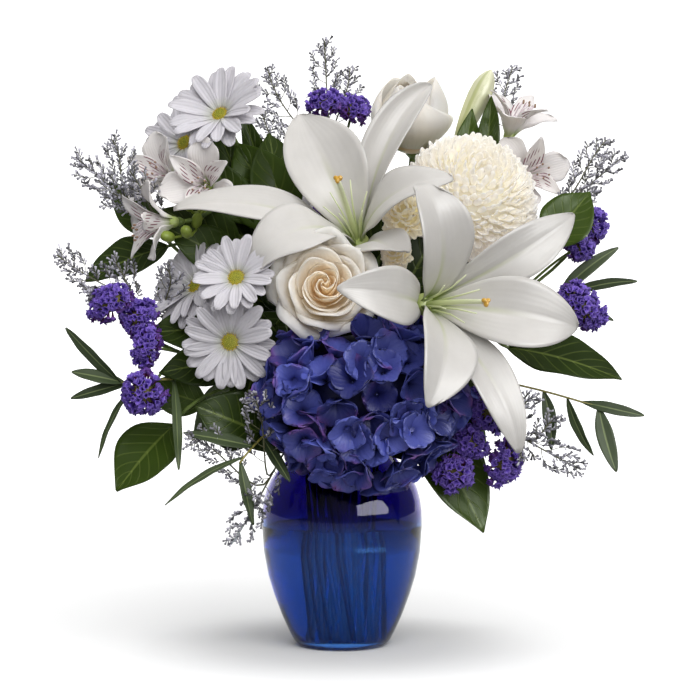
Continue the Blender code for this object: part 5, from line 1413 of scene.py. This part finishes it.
# Filler leaves. More of the same foliage stands between the stems, behind and under the blooms, and closes
# the gaps that would show daylight. Each leaf has a thin stalk that runs down to the neck.
# Each is (base, tip, the way its upper side faces, width, how light it is)
FILLERS = [
    ((-0.018, -0.024, 0.172), (-0.058, -0.034, 0.240), (-0.2, -0.9, 0.0), 0.052, 0.0),
    ((-0.020, -0.030, 0.176), (-0.074, -0.044, 0.150), (-0.2, -0.9, 0.1), 0.046, 0.1),
    ((-0.006, -0.028, 0.196), (-0.030, -0.030, 0.262), (0.0, -0.9, 0.1), 0.050, 0.0),
    ((0.030, -0.030, 0.172), (0.070, -0.050, 0.140), (0.1, -0.9, 0.1), 0.044, 0.1),
    ((-0.048, -0.020, 0.240), (-0.078, -0.036, 0.172), (-0.2, -0.9, 0.2), 0.046, 0.2),
    ((-0.070, -0.024, 0.236), (-0.140, -0.034, 0.232), (0.0, -0.9, 0.3), 0.040, 0.3),
    ((-0.074, -0.030, 0.214), (-0.132, -0.046, 0.204), (0.0, -0.9, 0.1), 0.034, 0.1),
    ((-0.042, 0.028, 0.296), (-0.118, 0.012, 0.318), (0.0, -0.9, 0.3), 0.044, 0.3),
    ((-0.036, 0.020, 0.306), (-0.084, 0.014, 0.374), (-0.3, -0.8, 0.5), 0.056, 1.0),
    ((-0.070, 0.006, 0.290), (-0.136, 0.000, 0.322), (-0.1, -0.9, 0.3), 0.040, 0.4),
    ((-0.072, -0.006, 0.282), (-0.132, -0.020, 0.306), (-0.1, -0.9, 0.2), 0.034, 0.7),
    ((-0.066, 0.010, 0.312), (-0.104, 0.006, 0.362), (-0.2, -0.9, 0.2), 0.032, 0.6),
    ((0.040, -0.004, 0.254), (0.074, -0.006, 0.314), (0.1, -0.9, 0.1), 0.048, 0.0),
    ((0.112, 0.058, 0.362), (0.115, 0.054, 0.418), (0.1, -0.9, 0.1), 0.018, 0.8),
    ((-0.050, 0.020, 0.250), (-0.118, 0.016, 0.290), (-0.1, -0.9, 0.2), 0.046, 0.1),
    ((-0.030, 0.020, 0.246), (-0.062, 0.000, 0.300), (0.1, -0.9, 0.2), 0.046, 0.0),
    ((0.018, 0.030, 0.262), (0.044, 0.014, 0.330), (0.1, -0.9, 0.2), 0.050, 0.1),
    ((0.026, 0.016, 0.230), (0.072, 0.000, 0.290), (0.1, -0.9, 0.2), 0.048, 0.0),
    ((0.050, 0.010, 0.214), (0.118, 0.006, 0.262), (0.1, -0.9, 0.2), 0.046, 0.1),
    ((0.056, -0.018, 0.220), (0.108, -0.036, 0.196), (0.2, -0.9, 0.2), 0.038, 0.2),
    ((0.062, -0.016, 0.196), (0.094, -0.040, 0.150), (0.2, -0.9, 0.1), 0.040, 0.1),
    ((-0.020, 0.030, 0.200), (-0.084, 0.010, 0.196), (-0.1, -0.9, 0.1), 0.050, 0.1),
    ((0.020, 0.034, 0.200), (0.084, 0.016, 0.190), (0.1, -0.9, 0.1), 0.050, 0.0),
    ((-0.010, 0.036, 0.220), (-0.030, 0.020, 0.290), (0.0, -0.9, 0.1), 0.050, 0.0),
    ((0.092, 0.060, 0.356), (0.102, 0.056, 0.408), (0.1, -0.9, 0.1), 0.020, 1.0),
    ((-0.054, 0.026, 0.326), (-0.071, 0.026, 0.404), (-0.1, -0.9, 0.1), 0.020, 0.3),
    ((-0.066, 0.018, 0.318), (-0.095, 0.022, 0.396), (-0.1, -0.9, 0.1), 0.026, 0.5),
    ((-0.030, 0.050, 0.230), (-0.086, 0.070, 0.300), (-0.2, 0.9, 0.3), 0.048, 0.5),
    ((0.020, 0.056, 0.230), (0.040, 0.084, 0.310), (0.1, 0.9, 0.3), 0.050, 0.6),
    ((0.046, 0.050, 0.230), (0.120, 0.064, 0.310), (0.2, 0.9, 0.3), 0.048, 0.4),
    ((-0.008, 0.060, 0.216), (-0.012, 0.110, 0.270), (0.0, 0.8, 0.5), 0.048, 0.5),
    ((0.014, 0.056, 0.190), (0.030, 0.112, 0.184), (0.0, 0.6, 0.8), 0.046, 0.4),
    ((-0.016, 0.052, 0.186), (-0.048, 0.104, 0.176), (-0.1, 0.6, 0.8), 0.046, 0.5),
]
# A stalk starts in the neck, at this share of its leaf's distance from the axis
STALK_SHARE = 0.30
STALK_HEIGHT = 0.160
jitter = random.Random(170)
bm, stalks = new_piece(), new_piece()
for base, tip, facing, width, tint in FILLERS:
    leaf(bm, base, tip, facing, width, steps=16, lanes=10, tint=tint, ruffle=0.0012, waves=2.2,
         phase=jitter.uniform(0, 6), sway=jitter.uniform(-0.08, 0.08), **BROAD_LEAF)
    low = Vector((base[0] * STALK_SHARE, base[1] * STALK_SHARE, STALK_HEIGHT))
    rod(stalks, bezier(low, (0, 0, 1), *leaf_stalk_end(base, tip), 8), 0.0013, 6, 0.0011)
close_seams(stalks)
add_piece("filler_leaves", bm, salal_finish, thickness=0.0005)
add_piece("filler_stalks", stalks, stem_finish)


# Willow-leaved eucalyptus. Narrow, matt grey-green leaves leave a yellowish twig one by one, each twisted a
# little and bent aside.
# Each is (the tip of the twig, its leaves as (share along it, tip, facing, width))
EUCALYPTUS = {
    "eucalyptus_left": ((-0.160, -0.056, 0.196), [
        (0.99, (-0.192, -0.068, 0.238), (-0.6, -0.8, 0), 0.010),
        (0.97, (-0.192, -0.066, 0.201), (0, -0.8, 0.6), 0.011),
        (0.94, (-0.192, -0.060, 0.182), (0, -0.8, 0.6), 0.009),
        (0.91, (-0.177, -0.062, 0.145), (-0.8, -0.6, 0), 0.007),
        (0.75, (-0.122, -0.084, 0.139), (0.5, -0.8, 0), 0.008),
    ]),
    "eucalyptus_low_left": ((-0.072, -0.078, 0.140), [
        (0.99, (-0.069, -0.082, 0.097), (0.6, -0.8, 0), 0.010),
        (0.95, (-0.125, -0.084, 0.115), (0, -0.6, 0.8), 0.007),
        (0.86, (-0.110, -0.086, 0.157), (0, -0.8, 0.6), 0.013),
        (0.78, (-0.041, -0.086, 0.127), (0.4, -0.9, 0.2), 0.009),
    ]),
    "eucalyptus_right": ((0.188, -0.046, 0.178), [
        (0.99, (0.192, -0.052, 0.132), (0, -1, 0), 0.013),
        (0.93, (0.217, -0.048, 0.169), (0, -0.9, 0.4), 0.009),
        (0.88, (0.178, -0.052, 0.143), (-0.6, -0.8, 0), 0.008),
        (0.80, (0.158, -0.046, 0.150), (0, -1, 0), 0.010),
    ]),
    "eucalyptus_far_right": ((0.176, 0.014, 0.262), [
        (0.97, (0.220, 0.002, 0.276), (0, -0.8, 0.6), 0.009),
        (0.94, (0.203, 0.012, 0.302), (-0.4, -0.9, 0), 0.011),
        (0.90, (0.206, 0.022, 0.246), (0, -0.8, 0.6), 0.009),
    ]),
    "eucalyptus_back": ((0.010, 0.150, 0.250), [
        (0.99, (0.020, 0.175, 0.280), (0, 0.6, 0.8), 0.011),
        (0.94, (-0.040, 0.160, 0.280), (0, 0.8, 0.6), 0.011),
        (0.90, (0.055, 0.155, 0.240), (0, 0.8, 0.6), 0.011),
        (0.84, (-0.045, 0.150, 0.225), (0, 0.8, 0.6), 0.011),
    ]),
}
WILLOW_TWIG = 0.0014
# The twigs' tips point away from here, low in the bouquet
WILLOW_FAN = Vector((0, 0, 0.21))
WILLOW_LEAF = {"arch": 12, "steps": 16, "lanes": 8, "root": 0.14, "belly": 0.46, "tip": 0.16, "throat": 0.9,
               "taper": 0.75, "dish": 0.15, "groove": 0.0004, "ruffle": 0.0003}


def willow_grey():
    finish = Finish("willow_leaf", Roughness=0.6, Specular_IOR_Level=0.2)
    lightness = finish.mark("tint") * 0.6 + finish.cloud(90.0) * 0.4
    green = finish.mix(lightness, tone(32, 44, 24), tone(78, 92, 60))
    finish.colour(abs(finish.mark("across")).rise(0.16, 0.04) * 0.6, green, tone(132, 146, 96))
    finish.bump(finish.cloud(400.0, 3.0, (1, 1, 0.3)), 0.0002)
    return finish


def twig_yellow():
    finish = Finish("willow_twig", Roughness=0.55)
    yellow = finish.mix(finish.cloud(150.0), tone(116, 112, 46), tone(160, 148, 70))
    # Painted light under water: a pale colour and a blue glow
    paints_light_under_water(finish, yellow, tone(170, 176, 160), (0.014, 0.034, 0.080))
    finish.bump(finish.cloud(700.0), 0.0001)
    return finish


willow_finish, twig_finish = willow_grey(), twig_yellow()
for seed, (name, (tip, leaves)) in enumerate(EUCALYPTUS.items()):
    jitter = random.Random(180 + seed)
    foot, runs = stem_run(name, [(Vector(tip), Vector(tip) - WILLOW_FAN, 0)])
    bm, twigs = new_piece(), new_piece()
    forked_stem(twigs, foot, runs, (WILLOW_TWIG * 0.8, 8, 0.0008), None)
    for share, leaf_tip, facing, width in leaves:
        leaf(bm, along_path(runs[0], share), leaf_tip, facing, width, tint=jitter.random(),
             twist=jitter.uniform(-30, 30), sway=jitter.choice((-1, 1)) * jitter.uniform(0.08, 0.18),
             **WILLOW_LEAF)
    close_seams(twigs)
    add_piece(name + "_leaves", bm, willow_finish, [name], thickness=0.0005)
    add_piece(name + "_twig", twigs, twig_finish)
